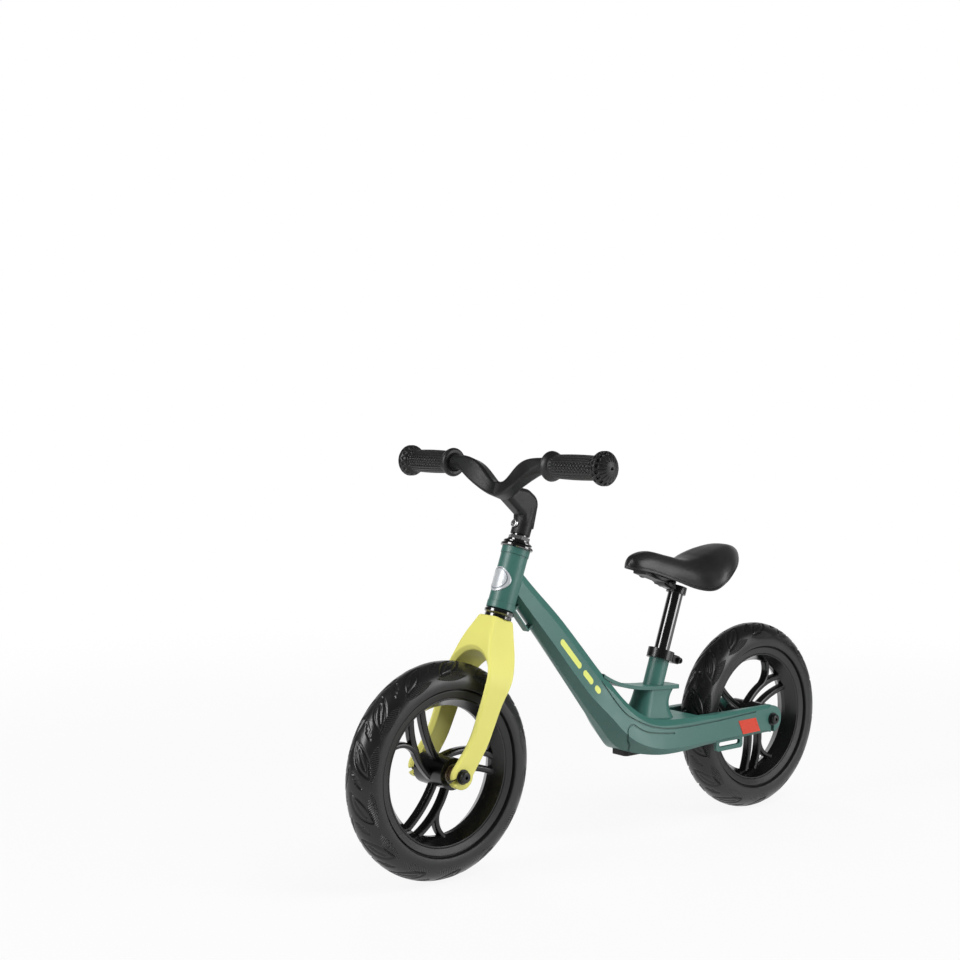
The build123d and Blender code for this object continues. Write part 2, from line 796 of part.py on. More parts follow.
# Frame casting
def ridged_face(section):
    """A section's closed outline, square to the line between its two outline points."""
    foot = Vector(section.low[0], 0, section.low[1])
    rise = Vector(section.top[0], 0, section.top[1]) - foot
    tall = rise.length
    plane = Plane(origin=foot, x_dir=(0, 1, 0), z_dir=Vector(0, 1, 0).cross(rise))
    side = [
        (section.base, 0),
        (section.belly, section.keel),
        (section.shoulder, tall - section.edge),
        (section.flat, tall),
    ]
    other = [(-y, z) for y, z in reversed(side)]
    return plane * make_face(Polyline(*side, *other, close=True))


def eased_sections(keys, step):
    """Sections about one step apart on the smooth curve through the key sections."""
    rows = [[*key.top, *key.low, *key[2:]] for key in keys]
    spots = [0.0]
    for one, two in zip(rows, rows[1:]):
        run = two[0] + two[2] - one[0] - one[2]
        rise = two[1] + two[3] - one[1] - one[3]
        spots.append(spots[-1] + hypot(run, rise) / 2)
    last = len(rows) - 1
    slopes = []
    for i in range(last + 1):
        before, after = max(i - 1, 0), min(i + 1, last)
        span = spots[after] - spots[before]
        slopes.append([(b - a) / span for a, b in zip(rows[before], rows[after])])
    eased = [keys[0]]
    for i in range(last):
        gap = spots[i + 1] - spots[i]
        count = ceil(gap / step)
        for j in range(1, count + 1):
            u = j / count
            row = []
            for a, b, slope_a, slope_b in zip(rows[i], rows[i + 1], slopes[i], slopes[i + 1]):
                curve = a + (b - a) * u * u * (3 - 2 * u)
                row.append(curve + gap * u * (1 - u) * (slope_a * (1 - u) - slope_b * u))
            eased.append(Section(tuple(row[0:2]), tuple(row[2:4]), *row[4:]))
    return eased


def by_head_tube(section):
    """A section given from the head tube's foot, set in the frame."""
    points = []
    for ahead, rise in (section.top, section.low):
        spot = (steering * Pos(ahead, 0, head_tube_foot + rise)).position
        points.append((spot.X, spot.Z))
    return section._replace(top=points[0], low=points[1])


def slimmed(section, inset):
    """A section drawn in at its flanks and underside and let out above."""
    return section._replace(
        top=(section.top[0], section.top[1] + inset),
        low=(section.low[0], section.low[1] + inset),
        flat=section.flat - inset,
        shoulder=section.shoulder - inset,
        belly=section.belly - inset,
        base=section.base - inset,
    )


def shell_body(inset=0.0):
    keys = [by_head_tube(tube_head), by_head_tube(tube_neck), tube_mid, tube_brace]
    keys += [shell_bend, shell_front, shell_mid, shell_back]
    keys = [slimmed(key, inset) for key in keys]
    return loft([ridged_face(section) for section in eased_sections(keys, shell_step)])


def main_shell():
    clear_r = tyre_diameter / 2 + tyre_clearance
    inner = arm_outer_mid - arm_wall_mid
    return shell_body() - Pos(*rear_axle) * sideways * rod(clear_r, -inner, inner)


def arm_station(x, outer, inner, inset):
    """A bevelled upright section of the left rear arm, moved inwards and made taller by an inset."""
    outer -= inset
    inner -= inset
    low = arm_low - inset
    top = arm_top + inset
    plane = Plane(origin=(x, 0, 0), x_dir=(0, 1, 0), z_dir=(1, 0, 0))
    return plane * make_face(
        Polyline(
            (inner, low),
            (outer - arm_edge, low),
            (outer, low + arm_edge),
            (outer, top - arm_edge),
            (outer - arm_edge, top),
            (inner, top),
            close=True,
        )
    )


def arm_blade(inset=0.0):
    inner = dropout_gap / 2
    inner_mid = arm_outer_mid - arm_wall_mid
    axle_x = rear_axle.X
    stations = [
        arm_station(axle_x, dropout_face, inner, inset),
        arm_station(axle_x + arm_straight, dropout_face, inner, inset),
        arm_station(arm_mid_x, arm_outer_mid, inner_mid, inset),
        arm_station(arm_start_x, arm_outer_mid - arm_start_inset, inner_mid, inset),
    ]
    return loft(stations, ruled=True)


def rear_arm():
    """The left rear arm with its round dropout and strap tab."""
    eye = sideways * rod(rear_dropout_radius, dropout_gap / 2, dropout_face)
    arm = arm_blade() + Pos(rear_axle.X, 0, 0) * eye
    tab_length = tab_front_x - tab_back_x
    tab_rise = arm_low + arm_tab_overlap - tab_low_z
    tab_mid = (tab_front_x + tab_back_x) / 2
    tab = Pos(tab_mid, tab_low_z + tab_rise / 2) * Rectangle(tab_length, tab_rise)
    tab = fillet(tab.vertices().group_by(Axis.Y)[0], tab_corner)
    slot = SlotOverall(tab_length - 2 * slot_margin, strap_slot_height)
    tab = tab - Pos(tab_mid, strap_slot_z) * slot
    tab_y = arm_outer_mid - arm_edge
    tab_body = Pos(0, tab_y, 0) * extrude(Plane.XZ * tab, tab_thickness)
    slot_body = Pos(0, 2 * tab_y, 0) * extrude(Plane.XZ * Pos(tab_mid, strap_slot_z) * slot, 2 * tab_y)
    return (arm + tab_body) - slot_body


def pillar():
    sections = [
        (pillar_foot_z, pillar_foot_front, pillar_foot_back, pillar_foot_half),
        (pillar_waist_z, pillar_waist_front, pillar_waist_back, pillar_waist_half),
        (pillar_top_z, pillar_top_front, pillar_top_back, pillar_top_half),
    ]
    faces = []
    for height, front, back, half in sections:
        outline = RectangleRounded(front - back, 2 * half, pillar_corner)
        faces.append(Pos((front + back) / 2, 0, height) * outline)
    return loft(faces)


def brace():
    """The thin leaf from the down tube to the platform round the seat tube."""
    upper = Spline(brace_front, brace_mid, brace_seat, brace_tail)
    lower_points = [(x, z - brace_thickness) for x, z in (brace_tail, brace_seat, brace_mid, brace_front)]
    lower = Spline(*lower_points)
    ends = Line(brace_tail, lower_points[0]) + Line(lower_points[-1], brace_front)
    strip = extrude(Plane.XZ * make_face(upper + lower + ends), 2 * brace_tail_half, both=True)
    plan = make_face(
        Polyline(
            (brace_front[0] + 1, brace_front_half),
            (brace_front[0] + 1, -brace_front_half),
            (brace_seat[0], -brace_tail_half),
            (brace_tail[0], -brace_tail_half),
            (brace_tail[0], brace_tail_half),
            (brace_seat[0], brace_tail_half),
            close=True,
        )
    )
    plan = fillet(plan.vertices().group_by(Axis.X)[0], brace_corner)
    return strip & extrude(plan, 2 * brace_front[1])


def strap_loop():
    """The thin loop under the down tube, just behind the head tube."""
    neck = by_head_tube(tube_neck)
    low_head = Vector(neck.low[0], 0, neck.low[1])
    low_mid = Vector(tube_mid.low[0], 0, tube_mid.low[1])
    along = (low_mid - low_head).normalized()
    plane = Plane(origin=low_head, x_dir=along, z_dir=(0, -1, 0))
    out = 2 * (loop_gap + loop_bar)
    outer = Rectangle(loop_length, out)
    hole = Rectangle(loop_length - 2 * loop_bar, out - 2 * loop_bar)
    outline = Pos(loop_length / 2, 0) * (outer - hole)
    return extrude(plane * outline, loop_half_width, both=True)


def flank_grooves():
    """What the two narrow grooves take out of each flank: a crease under the top edge and a panel line."""
    crease = FilletPolyline(*crease_line, radius=crease_round)
    panel = FilletPolyline(*panel_line, radius=panel_round)
    bands = trace(crease, groove_width) + trace(panel, groove_width)
    cutter = extrude(Plane.XZ * bands, 2 * arm_outer_mid, both=True)
    return cutter - shell_body(groove_depth) - both_sides(arm_blade(groove_depth))


def head_tube():
    radius = head_tube_diameter / 2
    band = radius + head_tube_band_step
    body = rod(radius, head_tube_foot, head_tube_top)
    body += rod(band, head_tube_foot, head_tube_foot + head_tube_band_height)
    return body + rod(band, head_tube_top - head_tube_band_height, head_tube_top)


def frame():
    seat_tube_r = seat_tube_diameter / 2
    body = main_shell() + both_sides(rear_arm()) + pillar() + brace() + strap_loop()
    body += seating * rod(seat_tube_r, 0, seat_tube_top)
    body += steering * head_tube()
    bore_over = head_tube_length / 2
    body -= steering * rod(head_tube_bore / 2, head_tube_foot - bore_over, head_tube_top + bore_over)
    post_r = post_diameter / 2 + slide_gap
    body -= seating * rod(post_r, seat_tube_top - post_bore_depth, 2 * seat_tube_top)
    body -= Pos(*rear_axle) * axle_slot(rear_slot_angle)
    return body - flank_grooves()


# Pad, badge and reflectors
def underside_pad():
    pad = extrude(RectangleRounded(pad_length, pad_width, pad_corner), pad_blank_height)
    return Pos(pad_x, 0, pad_low_z) * pad - main_shell()


def head_badge():
    """A thin disc that follows the front of the head tube."""
    radius = head_tube_diameter / 2
    skin = tube(radius + press_gap + badge_thickness, radius + press_gap, head_tube_foot, head_tube_top)
    disc = extrude(Plane.YZ * Pos(0, head_tube_foot + badge_height) * Circle(badge_diameter / 2), 2 * radius)
    return skin & disc


def reflector():
    """The slanted sticker on the left rear arm's outer face."""
    mid = Vector(arm_mid_x, arm_outer_mid, reflector_z)
    end = Vector(rear_axle.X + arm_straight, dropout_face, reflector_z)
    along = (mid - end).normalized()
    share = (reflector_x - arm_mid_x) / (end.X - arm_mid_x)
    plane = Plane(origin=mid + (end - mid) * share, x_dir=along, z_dir=along.cross(Vector(0, 0, -1)))
    half = reflector_length / 2
    tall = reflector_height / 2
    lean = reflector_slant / 2
    outline = Polyline(
        (-half + lean, -tall), (half + lean, -tall), (half - lean, tall), (-half - lean, tall), close=True
    )
    return extrude(plane * make_face(outline), reflector_thickness)


# Seat post and clamp, in the seat frame
def seat_clamp():
    tube_r = seat_tube_diameter / 2 + press_gap
    outer = tube_r + clamp_wall
    top = seat_tube_top + clamp_lip
    low = top - clamp_height
    body = rod(outer, low, top)
    ear_y = clamp_slit / 2 + clamp_ear_thickness
    ear_x = -outer - clamp_ear_length / 2 + clamp_wall
    ears = Box(clamp_ear_length + clamp_wall, 2 * ear_y, clamp_height - 2)
    ears = fillet(ears.edges().filter_by(Axis.Y).group_by(Axis.X)[0], clamp_height * 0.4)
    body += Pos(ear_x, 0, (low + top) / 2) * ears
    body -= rod(tube_r, low, seat_tube_top)
    body -= rod(post_diameter / 2 + side_play, low, top)
    body -= Pos(-outer, 0, (low + top) / 2) * Box(2 * outer, clamp_slit, 2 * clamp_height)
    bolt_x = -outer - clamp_bolt_out
    hole = sideways * rod(clamp_bolt_diameter / 2 + press_gap, -2 * ear_y, 2 * ear_y)
    body -= Pos(bolt_x, 0, (low + top) / 2) * hole
    reach = 2 * ear_y + clamp_nut_height
    screw = bolt(clamp_bolt_diameter, reach, clamp_bolt_head_diameter, clamp_bolt_head_height)
    screw = Pos(bolt_x, ear_y, (low + top) / 2) * sideways * screw
    nut = tube(clamp_bolt_head_diameter / 2, clamp_bolt_diameter / 2 + press_gap, 0, clamp_nut_height)
    nut = Pos(bolt_x, -ear_y, (low + top) / 2) * Rot(90, 0, 0) * nut
    return {"seat_clamp": body, "seat_clamp_bolt": screw, "seat_clamp_nut": nut}


def seat_post():
    radius = post_diameter / 2
    inner = radius - post_wall
    plug = rod(inner - press_gap, post_foot - post_plug_lip, post_foot + post_plug_height)
    plug += rod(radius - post_plug_step, post_foot - post_plug_lip, post_foot)
    return {"seat_post": tube(radius, inner, post_foot, post_top), "seat_post_plug": plug}


# Saddle, upright on its clamp
def cushion_face(section):
    """A crowned cross-section with drawn-in sides and a hollow underside."""
    half, rim, crown = section.half, section.rim, section.crown
    tall = crown - rim
    shoulder = (half * saddle_shoulder_share, rim + tall * saddle_shoulder_rise)
    waist = (half * saddle_waist_share, rim + tall * saddle_shoulder_rise / 2)
    left = ThreePointArc((half, rim), waist, shoulder)
    top = ThreePointArc(shoulder, (0, crown), (-shoulder[0], shoulder[1]))
    right = ThreePointArc((-shoulder[0], shoulder[1]), (-waist[0], waist[1]), (-half, rim))
    under = ThreePointArc((-half, rim), (0, rim + tall * saddle_hollow_share), (half, rim))
    plane = Plane(origin=(section.x, 0, 0), x_dir=(0, 1, 0), z_dir=(1, 0, 0))
    return plane * make_face(left + top + right + under)


def pan_face(section):
    """The base plate's cross-section, just below the cushion's hollow underside."""
    rise = (section.crown - section.rim) * saddle_hollow_share
    radius = (section.half**2 + rise**2) / (2 * rise)
    half = section.half * saddle_pan_share
    peak = section.rim + rise - saddle_pan_gap
    side = peak - radius + sqrt(radius**2 - half**2)
    thick = saddle_pan_thickness
    upper = ThreePointArc((half, side), (0, peak), (-half, side))
    lower = ThreePointArc((-half, side - thick), (0, peak - thick), (half, side - thick))
    ends = Line((-half, side), (-half, side - thick)) + Line((half, side - thick), (half, side))
    plane = Plane(origin=(section.x, 0, 0), x_dir=(0, 1, 0), z_dir=(1, 0, 0))
    return plane * make_face(upper + lower + ends)


def saddle():
    pivot = sideways
    lug_half = saddle_lug_width / 2
    cheek_in = lug_half + saddle_keel_play
    cheek_out = cheek_in + saddle_cheek_wall
    bolt_r = saddle_bolt_diameter / 2
    bolt_hole = pivot * rod(bolt_r + press_gap, -2 * cheek_out, 2 * cheek_out)
    cushion = loft([cushion_face(section) for section in saddle_sections])
    keel = extrude(
        side_face(
            saddle_keel_front,
            saddle_keel_low,
            saddle_keel_back,
            (saddle_keel_back[0], saddle_keel_top),
            (saddle_keel_front[0], saddle_keel_top),
        ),
        cheek_out,
        both=True,
    )
    pan = loft([pan_face(section) for section in saddle_sections[2:-2]])
    roof = saddle_sections[3].rim
    yoke = Pos(0, 0, roof) * Box(2 * saddle_yoke_reach, 2 * cheek_in, 2 * (roof - saddle_yoke_floor))
    base = pan + (keel - yoke) - cushion - bolt_hole
    band_r = post_diameter / 2 + saddle_band_wall
    on_post = saddle_place.inverse() * seating
    band = on_post * rod(band_r, post_top - saddle_band_height, post_top)
    lug = extrude(Plane.XZ * Circle(saddle_lug_round), lug_half, both=True)
    arm = side_face((0, saddle_lug_round), (-band_r, 0), (-band_r, -band_r), (0, -saddle_lug_round))
    clamp = band + lug + extrude(arm, lug_half, both=True)
    post_hole = rod(post_diameter / 2 + press_gap, post_top - 2 * saddle_band_height, 2 * post_top)
    clamp -= on_post * post_hole + bolt_hole
    nut = extrude(RegularPolygon(saddle_nut_width / 2, 6, major_radius=False), saddle_nut_height)
    nut -= rod(bolt_r + press_gap, 0, saddle_nut_height)
    nut = Pos(0, 0, cheek_out) * nut
    length = cheek_out + saddle_nut_height + saddle_thread_past
    return {
        "saddle_clamp": [clamp],
        "saddle_bolt": [pivot * rod(bolt_r, -length, length)],
        "saddle_nuts": [pivot * end for end in two_ends(nut)],
        "saddle_base": [base],
        "saddle_cushion": [cushion],
    }


nodes = {}


def add(name, *shapes):
    """One named piece, or group of like pieces, raised from the axle line to stand on the ground."""
    raised = [Pos(0, 0, axle_height) * shape for shape in shapes]
    nodes[name] = Compound(children=[solid for shape in raised for solid in shape.solids()])


add("frame", frame())
add("underside_pad", underside_pad())
add("head_badge", steering * head_badge())
add("stay_reflectors", reflector(), mirror(reflector(), Plane.XZ))
for name, shape in headset().items():
    add(name, steering * shape)
add("fork", steering * fork())
add("handlebar", steering * handlebar())
add("stem_bolt", steering * stem_bolt())
add("left_grip", steering * grip())
add("right_grip", steering * mirror(grip(), Plane.XZ))
for place, axle, turn in (("front", front_axle, front_spoke_turn), ("rear", rear_axle, rear_spoke_turn)):
    for name, shapes in wheel_set(axle, turn).items():
        add(place + "_" + name, *shapes)
for name, shape in seat_post().items():
    add(name, seating * shape)
for name, shape in seat_clamp().items():
    add(name, seating * shape)
for name, shapes in saddle().items():
    add(name, *[saddle_place * shape for shape in shapes])

os.makedirs("parts", exist_ok=True)
for name, shape in nodes.items():
    export_step(shape, "parts/" + name + ".step")
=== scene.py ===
import math

import bmesh
import bpy
import numpy as np
from mathutils import Matrix, Vector


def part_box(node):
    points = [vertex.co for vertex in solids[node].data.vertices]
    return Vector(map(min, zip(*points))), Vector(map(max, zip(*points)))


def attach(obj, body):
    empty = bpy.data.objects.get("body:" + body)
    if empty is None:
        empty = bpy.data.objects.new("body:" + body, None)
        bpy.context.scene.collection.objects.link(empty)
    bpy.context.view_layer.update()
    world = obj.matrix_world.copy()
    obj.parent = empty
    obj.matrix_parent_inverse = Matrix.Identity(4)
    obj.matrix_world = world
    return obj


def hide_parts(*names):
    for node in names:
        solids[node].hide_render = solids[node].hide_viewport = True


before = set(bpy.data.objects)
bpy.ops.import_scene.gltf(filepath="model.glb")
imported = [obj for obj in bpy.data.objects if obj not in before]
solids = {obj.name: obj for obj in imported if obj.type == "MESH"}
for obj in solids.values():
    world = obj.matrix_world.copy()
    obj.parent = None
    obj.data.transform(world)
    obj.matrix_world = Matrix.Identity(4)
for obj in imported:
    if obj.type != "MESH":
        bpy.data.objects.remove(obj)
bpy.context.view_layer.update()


# Frame: one light-alloy casting with head tube, down tube, bottom shell, saddle pillar and two rear arms.
# Its satin green enamel has painted shade in grooves and corners, where it is darkened by an ambient
# occlusion mask, and each side of the down tube has a plain printed stripe of three bars.
def add_node(tree, kind, feeds=(), **settings):
    """A node whose sockets take values or the outputs of other nodes."""
    made = tree.nodes.new(kind)
    for name, value in settings.items():
        setattr(made, name, value)
    for socket, value in dict(feeds).items():
        if isinstance(value, bpy.types.NodeSocket):
            tree.links.new(value, made.inputs[socket])
        else:
            made.inputs[socket].default_value = value
    return made


def reckon(tree, operation, *values, clamp=False):
    """The result of one step of arithmetic."""
    feeds = dict(enumerate(values))
    return add_node(tree, "ShaderNodeMath", feeds, operation=operation, use_clamp=clamp).outputs[0]


def shift(tree, operation, *values):
    """The result of one step of arithmetic on vectors."""
    made = add_node(tree, "ShaderNodeVectorMath", dict(enumerate(values)), operation=operation)
    return made.outputs["Value" if operation in ("DOT_PRODUCT", "LENGTH") else "Vector"]


def ramp(tree, value, low, high, start=0.0, end=1.0):
    """A value eased from start to end as it goes from low to high."""
    feeds = {"Value": value, "From Min": low, "From Max": high, "To Min": start, "To Max": end}
    return add_node(tree, "ShaderNodeMapRange", feeds, interpolation_type="SMOOTHSTEP").outputs["Result"]


def noise(tree, place, scale, detail):
    """Cloudy noise between 0 and 1."""
    feeds = {"Vector": place, "Scale": scale, "Detail": detail}
    return add_node(tree, "ShaderNodeTexNoise", feeds).outputs["Fac"]


def object_place(tree):
    """Where a point lies on its object, in metres."""
    return add_node(tree, "ShaderNodeTexCoord").outputs["Object"]


def parts_of(tree, vector):
    """The three parts of a vector."""
    return add_node(tree, "ShaderNodeSeparateXYZ", {0: vector}).outputs


def brighten(tree, colour, share):
    """A colour made lighter or darker by a share."""
    grey = add_node(tree, "ShaderNodeCombineXYZ", {0: share, 1: share, 2: share}).outputs[0]
    return shift(tree, "MULTIPLY", colour, grey)


def blend_colour(tree, share, first, second):
    """One colour laid over another by a share."""
    feeds = {"Factor": share, 6: first, 7: second}
    return add_node(tree, "ShaderNodeMix", feeds, data_type="RGBA").outputs[2]


def new_group(name, takes, gives):
    """A shader group with named sockets: its tree, what it takes and what it gives."""
    tree = bpy.data.node_groups.new(name, "ShaderNodeTree")
    for label, kind, value in takes:
        socket = tree.interface.new_socket(label, in_out="INPUT", socket_type="NodeSocket" + kind)
        socket.default_value = value
    for label, kind in gives:
        tree.interface.new_socket(label, in_out="OUTPUT", socket_type="NodeSocket" + kind)
    enter = tree.nodes.new("NodeGroupInput")
    leave = tree.nodes.new("NodeGroupOutput")
    return tree, enter.outputs, leave.inputs


def use_group(tree, group, feeds):
    """A group placed in a material with its own values."""
    return add_node(tree, "ShaderNodeGroup", feeds, node_tree=group).outputs


def new_finish(name):
    """A material with a single Principled shader."""
    finish = bpy.data.materials.new(name)
    finish.use_nodes = True
    return finish, finish.node_tree, finish.node_tree.nodes["Principled BSDF"]


def relief(tree, shader, height, depth, softness):
    """Surface relief of a real depth, over edges eased to a small radius."""
    eased = add_node(tree, "ShaderNodeBevel", {"Radius": softness}, samples=4)
    feeds = {"Height": height, "Distance": depth, "Normal": eased.outputs[0]}
    tree.links.new(add_node(tree, "ShaderNodeBump", feeds).outputs[0], shader.inputs["Normal"])


def coat(finish, *names):
    """Gives solids their finish."""
    for name in names:
        solids[name].data.materials.clear()
        solids[name].data.materials.append(finish)


film_cloud_scale, film_haze_scale, film_haze_share = 14, 60, 0.14
paint_film, film_in, film_out = new_group(
    "paint_film",
    [
        ("Tint", "Color", (0.5, 0.5, 0.5, 1)),
        ("Mottle", "Float", 0.1),
        ("Gloss", "Float", 0.4),
        ("Peel", "Float", 900),
    ],
    [("Color", "Color"), ("Roughness", "Float"), ("Height", "Float")],
)
place = object_place(paint_film)
cloud = reckon(paint_film, "SUBTRACT", noise(paint_film, place, film_cloud_scale, detail=3), 0.5)
drift = reckon(paint_film, "MULTIPLY_ADD", cloud, film_in["Mottle"], 1.0)
haze = reckon(paint_film, "SUBTRACT", noise(paint_film, place, film_haze_scale, detail=4), 0.5)
dulled = reckon(paint_film, "MULTIPLY_ADD", haze, film_haze_share, film_in["Gloss"])
paint_film.links.new(brighten(paint_film, film_in["Tint"], drift), film_out["Color"])
paint_film.links.new(dulled, film_out["Roughness"])
paint_film.links.new(noise(paint_film, place, film_in["Peel"], detail=1), film_out["Height"])

line_distance, line_in, line_out = new_group(
    "line_distance",
    [("Start", "Vector", (0, 0, 0)), ("End", "Vector", (0, 0, 1))],
    [("Distance", "Float")],
)
flat = shift(line_distance, "MULTIPLY", object_place(line_distance), (1, 0, 1))
away = shift(line_distance, "SUBTRACT", flat, line_in["Start"])
along = shift(line_distance, "SUBTRACT", line_in["End"], line_in["Start"])
covered = shift(line_distance, "DOT_PRODUCT", away, along)
whole = shift(line_distance, "DOT_PRODUCT", along, along)
share = reckon(line_distance, "DIVIDE", covered, whole, clamp=True)
feeds = {0: along, "Scale": share}
foot = add_node(line_distance, "ShaderNodeVectorMath", feeds, operation="SCALE").outputs[0]
gap = shift(line_distance, "LENGTH", shift(line_distance, "SUBTRACT", away, foot))
line_distance.links.new(gap, line_out["Distance"])

enamel_green = (0.037, 0.122, 0.102, 1)
# The dark green of the painted shade laid into grooves and corners.
painted_shade_green = (0.008, 0.030, 0.025, 1)
stripe_yellow = (0.62, 0.66, 0.14, 1)
stripe_start_mm, stripe_heading = (101.5, 287.5), (-0.672, -0.741)
stripe_bars_mm = ((0.0, 46.0), (62.0, 78.0), (93.0, 97.0))
stripe_half_width, stripe_fade = 0.0040, 0.0005
shade_reach = 0.004
peel_depth = 0.00001
casting_edge = 0.0012


def stripe_point(reach):
    """A point on the stripe's middle line in metres, by its distance from the upper end in millimetres."""
    x, z = (start + heading * reach for start, heading in zip(stripe_start_mm, stripe_heading))
    return x / 1000, 0, z / 1000


green_enamel, tree, shader = new_finish("green_enamel")
film = use_group(tree, paint_film, {"Tint": enamel_green, "Mottle": 0.2, "Gloss": 0.40, "Peel": 700})
facing = parts_of(tree, add_node(tree, "ShaderNodeNewGeometry").outputs["Normal"])
flank = ramp(tree, reckon(tree, "ABSOLUTE", facing[1]), 0.25, 0.45)
stripe = None
for first, last in stripe_bars_mm:
    ends = {"Start": stripe_point(first), "End": stripe_point(last)}
    bar = use_group(tree, line_distance, ends)["Distance"]
    stripe = bar if stripe is None else reckon(tree, "MINIMUM", stripe, bar)
printed = ramp(tree, stripe, stripe_half_width, stripe_half_width + stripe_fade, 1, 0)
printed = reckon(tree, "MULTIPLY", printed, flank)
# Painted shade: the enamel is blended towards a dark green where ambient occlusion finds walls within a few
# millimetres.
feeds = {"Distance": shade_reach}
open_air = add_node(tree, "ShaderNodeAmbientOcclusion", feeds, samples=6, only_local=True).outputs["AO"]
painted_shade = ramp(tree, open_air, 0.30, 0.80, 0.75, 0)
shaded = blend_colour(tree, painted_shade, film["Color"], painted_shade_green)
tree.links.new(blend_colour(tree, printed, shaded, stripe_yellow), shader.inputs["Base Color"])
tree.links.new(film["Roughness"], shader.inputs["Roughness"])
shader.inputs["Specular IOR Level"].default_value = 0.5
relief(tree, shader, film["Height"], peel_depth, casting_edge)
coat(green_enamel, "frame")


# Underside pad: a small foot glued under the bend of the bottom shell.
# It is moulded in black rubber, with a fine pebbled face.
skin_cloud_scale, skin_gloss_drift = 22, 0.25
moulded_skin, skin_in, skin_out = new_group(
    "moulded_skin",
    [("Tint", "Color", (0.02, 0.02, 0.02, 1)), ("Gloss", "Float", 0.5), ("Grain", "Float", 1500)],
    [("Color", "Color"), ("Roughness", "Float"), ("Height", "Float")],
)
place = object_place(moulded_skin)
pebble = add_node(moulded_skin, "ShaderNodeTexVoronoi", {"Vector": place, "Scale": skin_in["Grain"]})
cloud = noise(moulded_skin, place, skin_cloud_scale, detail=5)
drift = ramp(moulded_skin, cloud, 0.3, 0.7, 0.82, 1.2)
uneven = reckon(moulded_skin, "SUBTRACT", cloud, 0.5)
dulled = reckon(moulded_skin, "MULTIPLY_ADD", uneven, skin_gloss_drift, skin_in["Gloss"])
moulded_skin.links.new(brighten(moulded_skin, skin_in["Tint"], drift), skin_out["Color"])
moulded_skin.links.new(dulled, skin_out["Roughness"])
moulded_skin.links.new(pebble.outputs["Distance"], skin_out["Height"])


def moulded_finish(name, tint, gloss, grain, depth, softness, shine=0.5, coat_weight=0.0):
    """A moulded finish: tone drift, uneven gloss and a fine grain."""
    finish, tree, shader = new_finish(name)
    skin = use_group(tree, moulded_skin, {"Tint": tint, "Gloss": gloss, "Grain": grain})
    tree.links.new(skin["Color"], shader.inputs["Base Color"])
    tree.links.new(skin["Roughness"], shader.inputs["Roughness"])
    shader.inputs["Coat Weight"].default_value = coat_weight
    shader.inputs["Coat Roughness"].default_value = 0.12
    shader.inputs["Specular IOR Level"].default_value = shine
    relief(tree, shader, skin["Height"], depth, softness)
    return finish


pad_black = (0.008, 0.008, 0.008, 1)
pad_rubber = moulded_finish("pad_rubber", pad_black, gloss=0.7, grain=900, depth=0.0002, softness=0.0006)
coat(pad_rubber, "underside_pad")


# Head badge: a plain pale disc on the front of the head tube.
# It is spun from aluminium and lacquered, with fine turned rings and a bead near its rim.
badge_silver, badge_shade = (0.50, 0.52, 0.54, 1), (0.20, 0.22, 0.25, 1)
bead_inner, bead_outer, bead_fade = 0.0128, 0.0148, 0.0005
ring_rate, ring_share, bead_depth = 9000, 0.05, 0.0003
head_angle = math.radians(70.6)
steer_up = Vector((-math.cos(head_angle), 0, math.sin(head_angle)))
low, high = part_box("head_badge")
badge_metal, tree, shader = new_finish("badge_metal")
out = shift(tree, "SUBTRACT", object_place(tree), (low + high) / 2)
rise = reckon(tree, "POWER", shift(tree, "DOT_PRODUCT", out, steer_up), 2)
side = reckon(tree, "POWER", shift(tree, "DOT_PRODUCT", out, (0, 1, 0)), 2)
radius = reckon(tree, "SQRT", reckon(tree, "ADD", rise, side))
turned = reckon(tree, "SINE", reckon(tree, "MULTIPLY", radius, ring_rate))
begins = ramp(tree, radius, bead_inner, bead_inner + bead_fade)
ends = ramp(tree, radius, bead_outer - bead_fade, bead_outer, 1, 0)
bead = reckon(tree, "MULTIPLY", begins, ends)
tree.links.new(blend_colour(tree, bead, badge_silver, badge_shade), shader.inputs["Base Color"])
tree.links.new(ramp(tree, turned, -1, 1, 0.26, 0.36), shader.inputs["Roughness"])
shader.inputs["Metallic"].default_value = 0.2
shader.inputs["Coat Weight"].default_value = 0.1
relief(tree, shader, reckon(tree, "MULTIPLY_ADD", turned, ring_share, bead), bead_depth, softness=0.0004)
coat(badge_metal, "head_badge")


# Rear-arm reflectors: slanted orange-red stickers on the outer faces of the two arms.
# They are reflective sheet, with a fine prism mesh under a clear film.
sheet_red, mesh_red = (0.60, 0.047, 0.020, 1), (0.47, 0.032, 0.013, 1)
prism_scale, prism_depth = 520, 0.0001
reflector_sheet, tree, shader = new_finish("reflector_sheet")
feeds = {"Vector": object_place(tree), "Scale": prism_scale}
prism = add_node(tree, "ShaderNodeTexVoronoi", feeds, feature="DISTANCE_TO_EDGE").outputs["Distance"]
mesh_line = ramp(tree, prism, 0.02, 0.10, 1, 0)
tree.links.new(blend_colour(tree, mesh_line, sheet_red, mesh_red), shader.inputs["Base Color"])
tree.links.new(ramp(tree, mesh_line, 0, 1, 0.28, 0.45), shader.inputs["Roughness"])
shader.inputs["Specular IOR Level"].default_value = 0.25
shader.inputs["Coat Weight"].default_value = 0.15
shader.inputs["Coat Roughness"].default_value = 0.1
relief(tree, shader, mesh_line, prism_depth, softness=0.0003)
coat(reflector_sheet, "stay_reflectors")


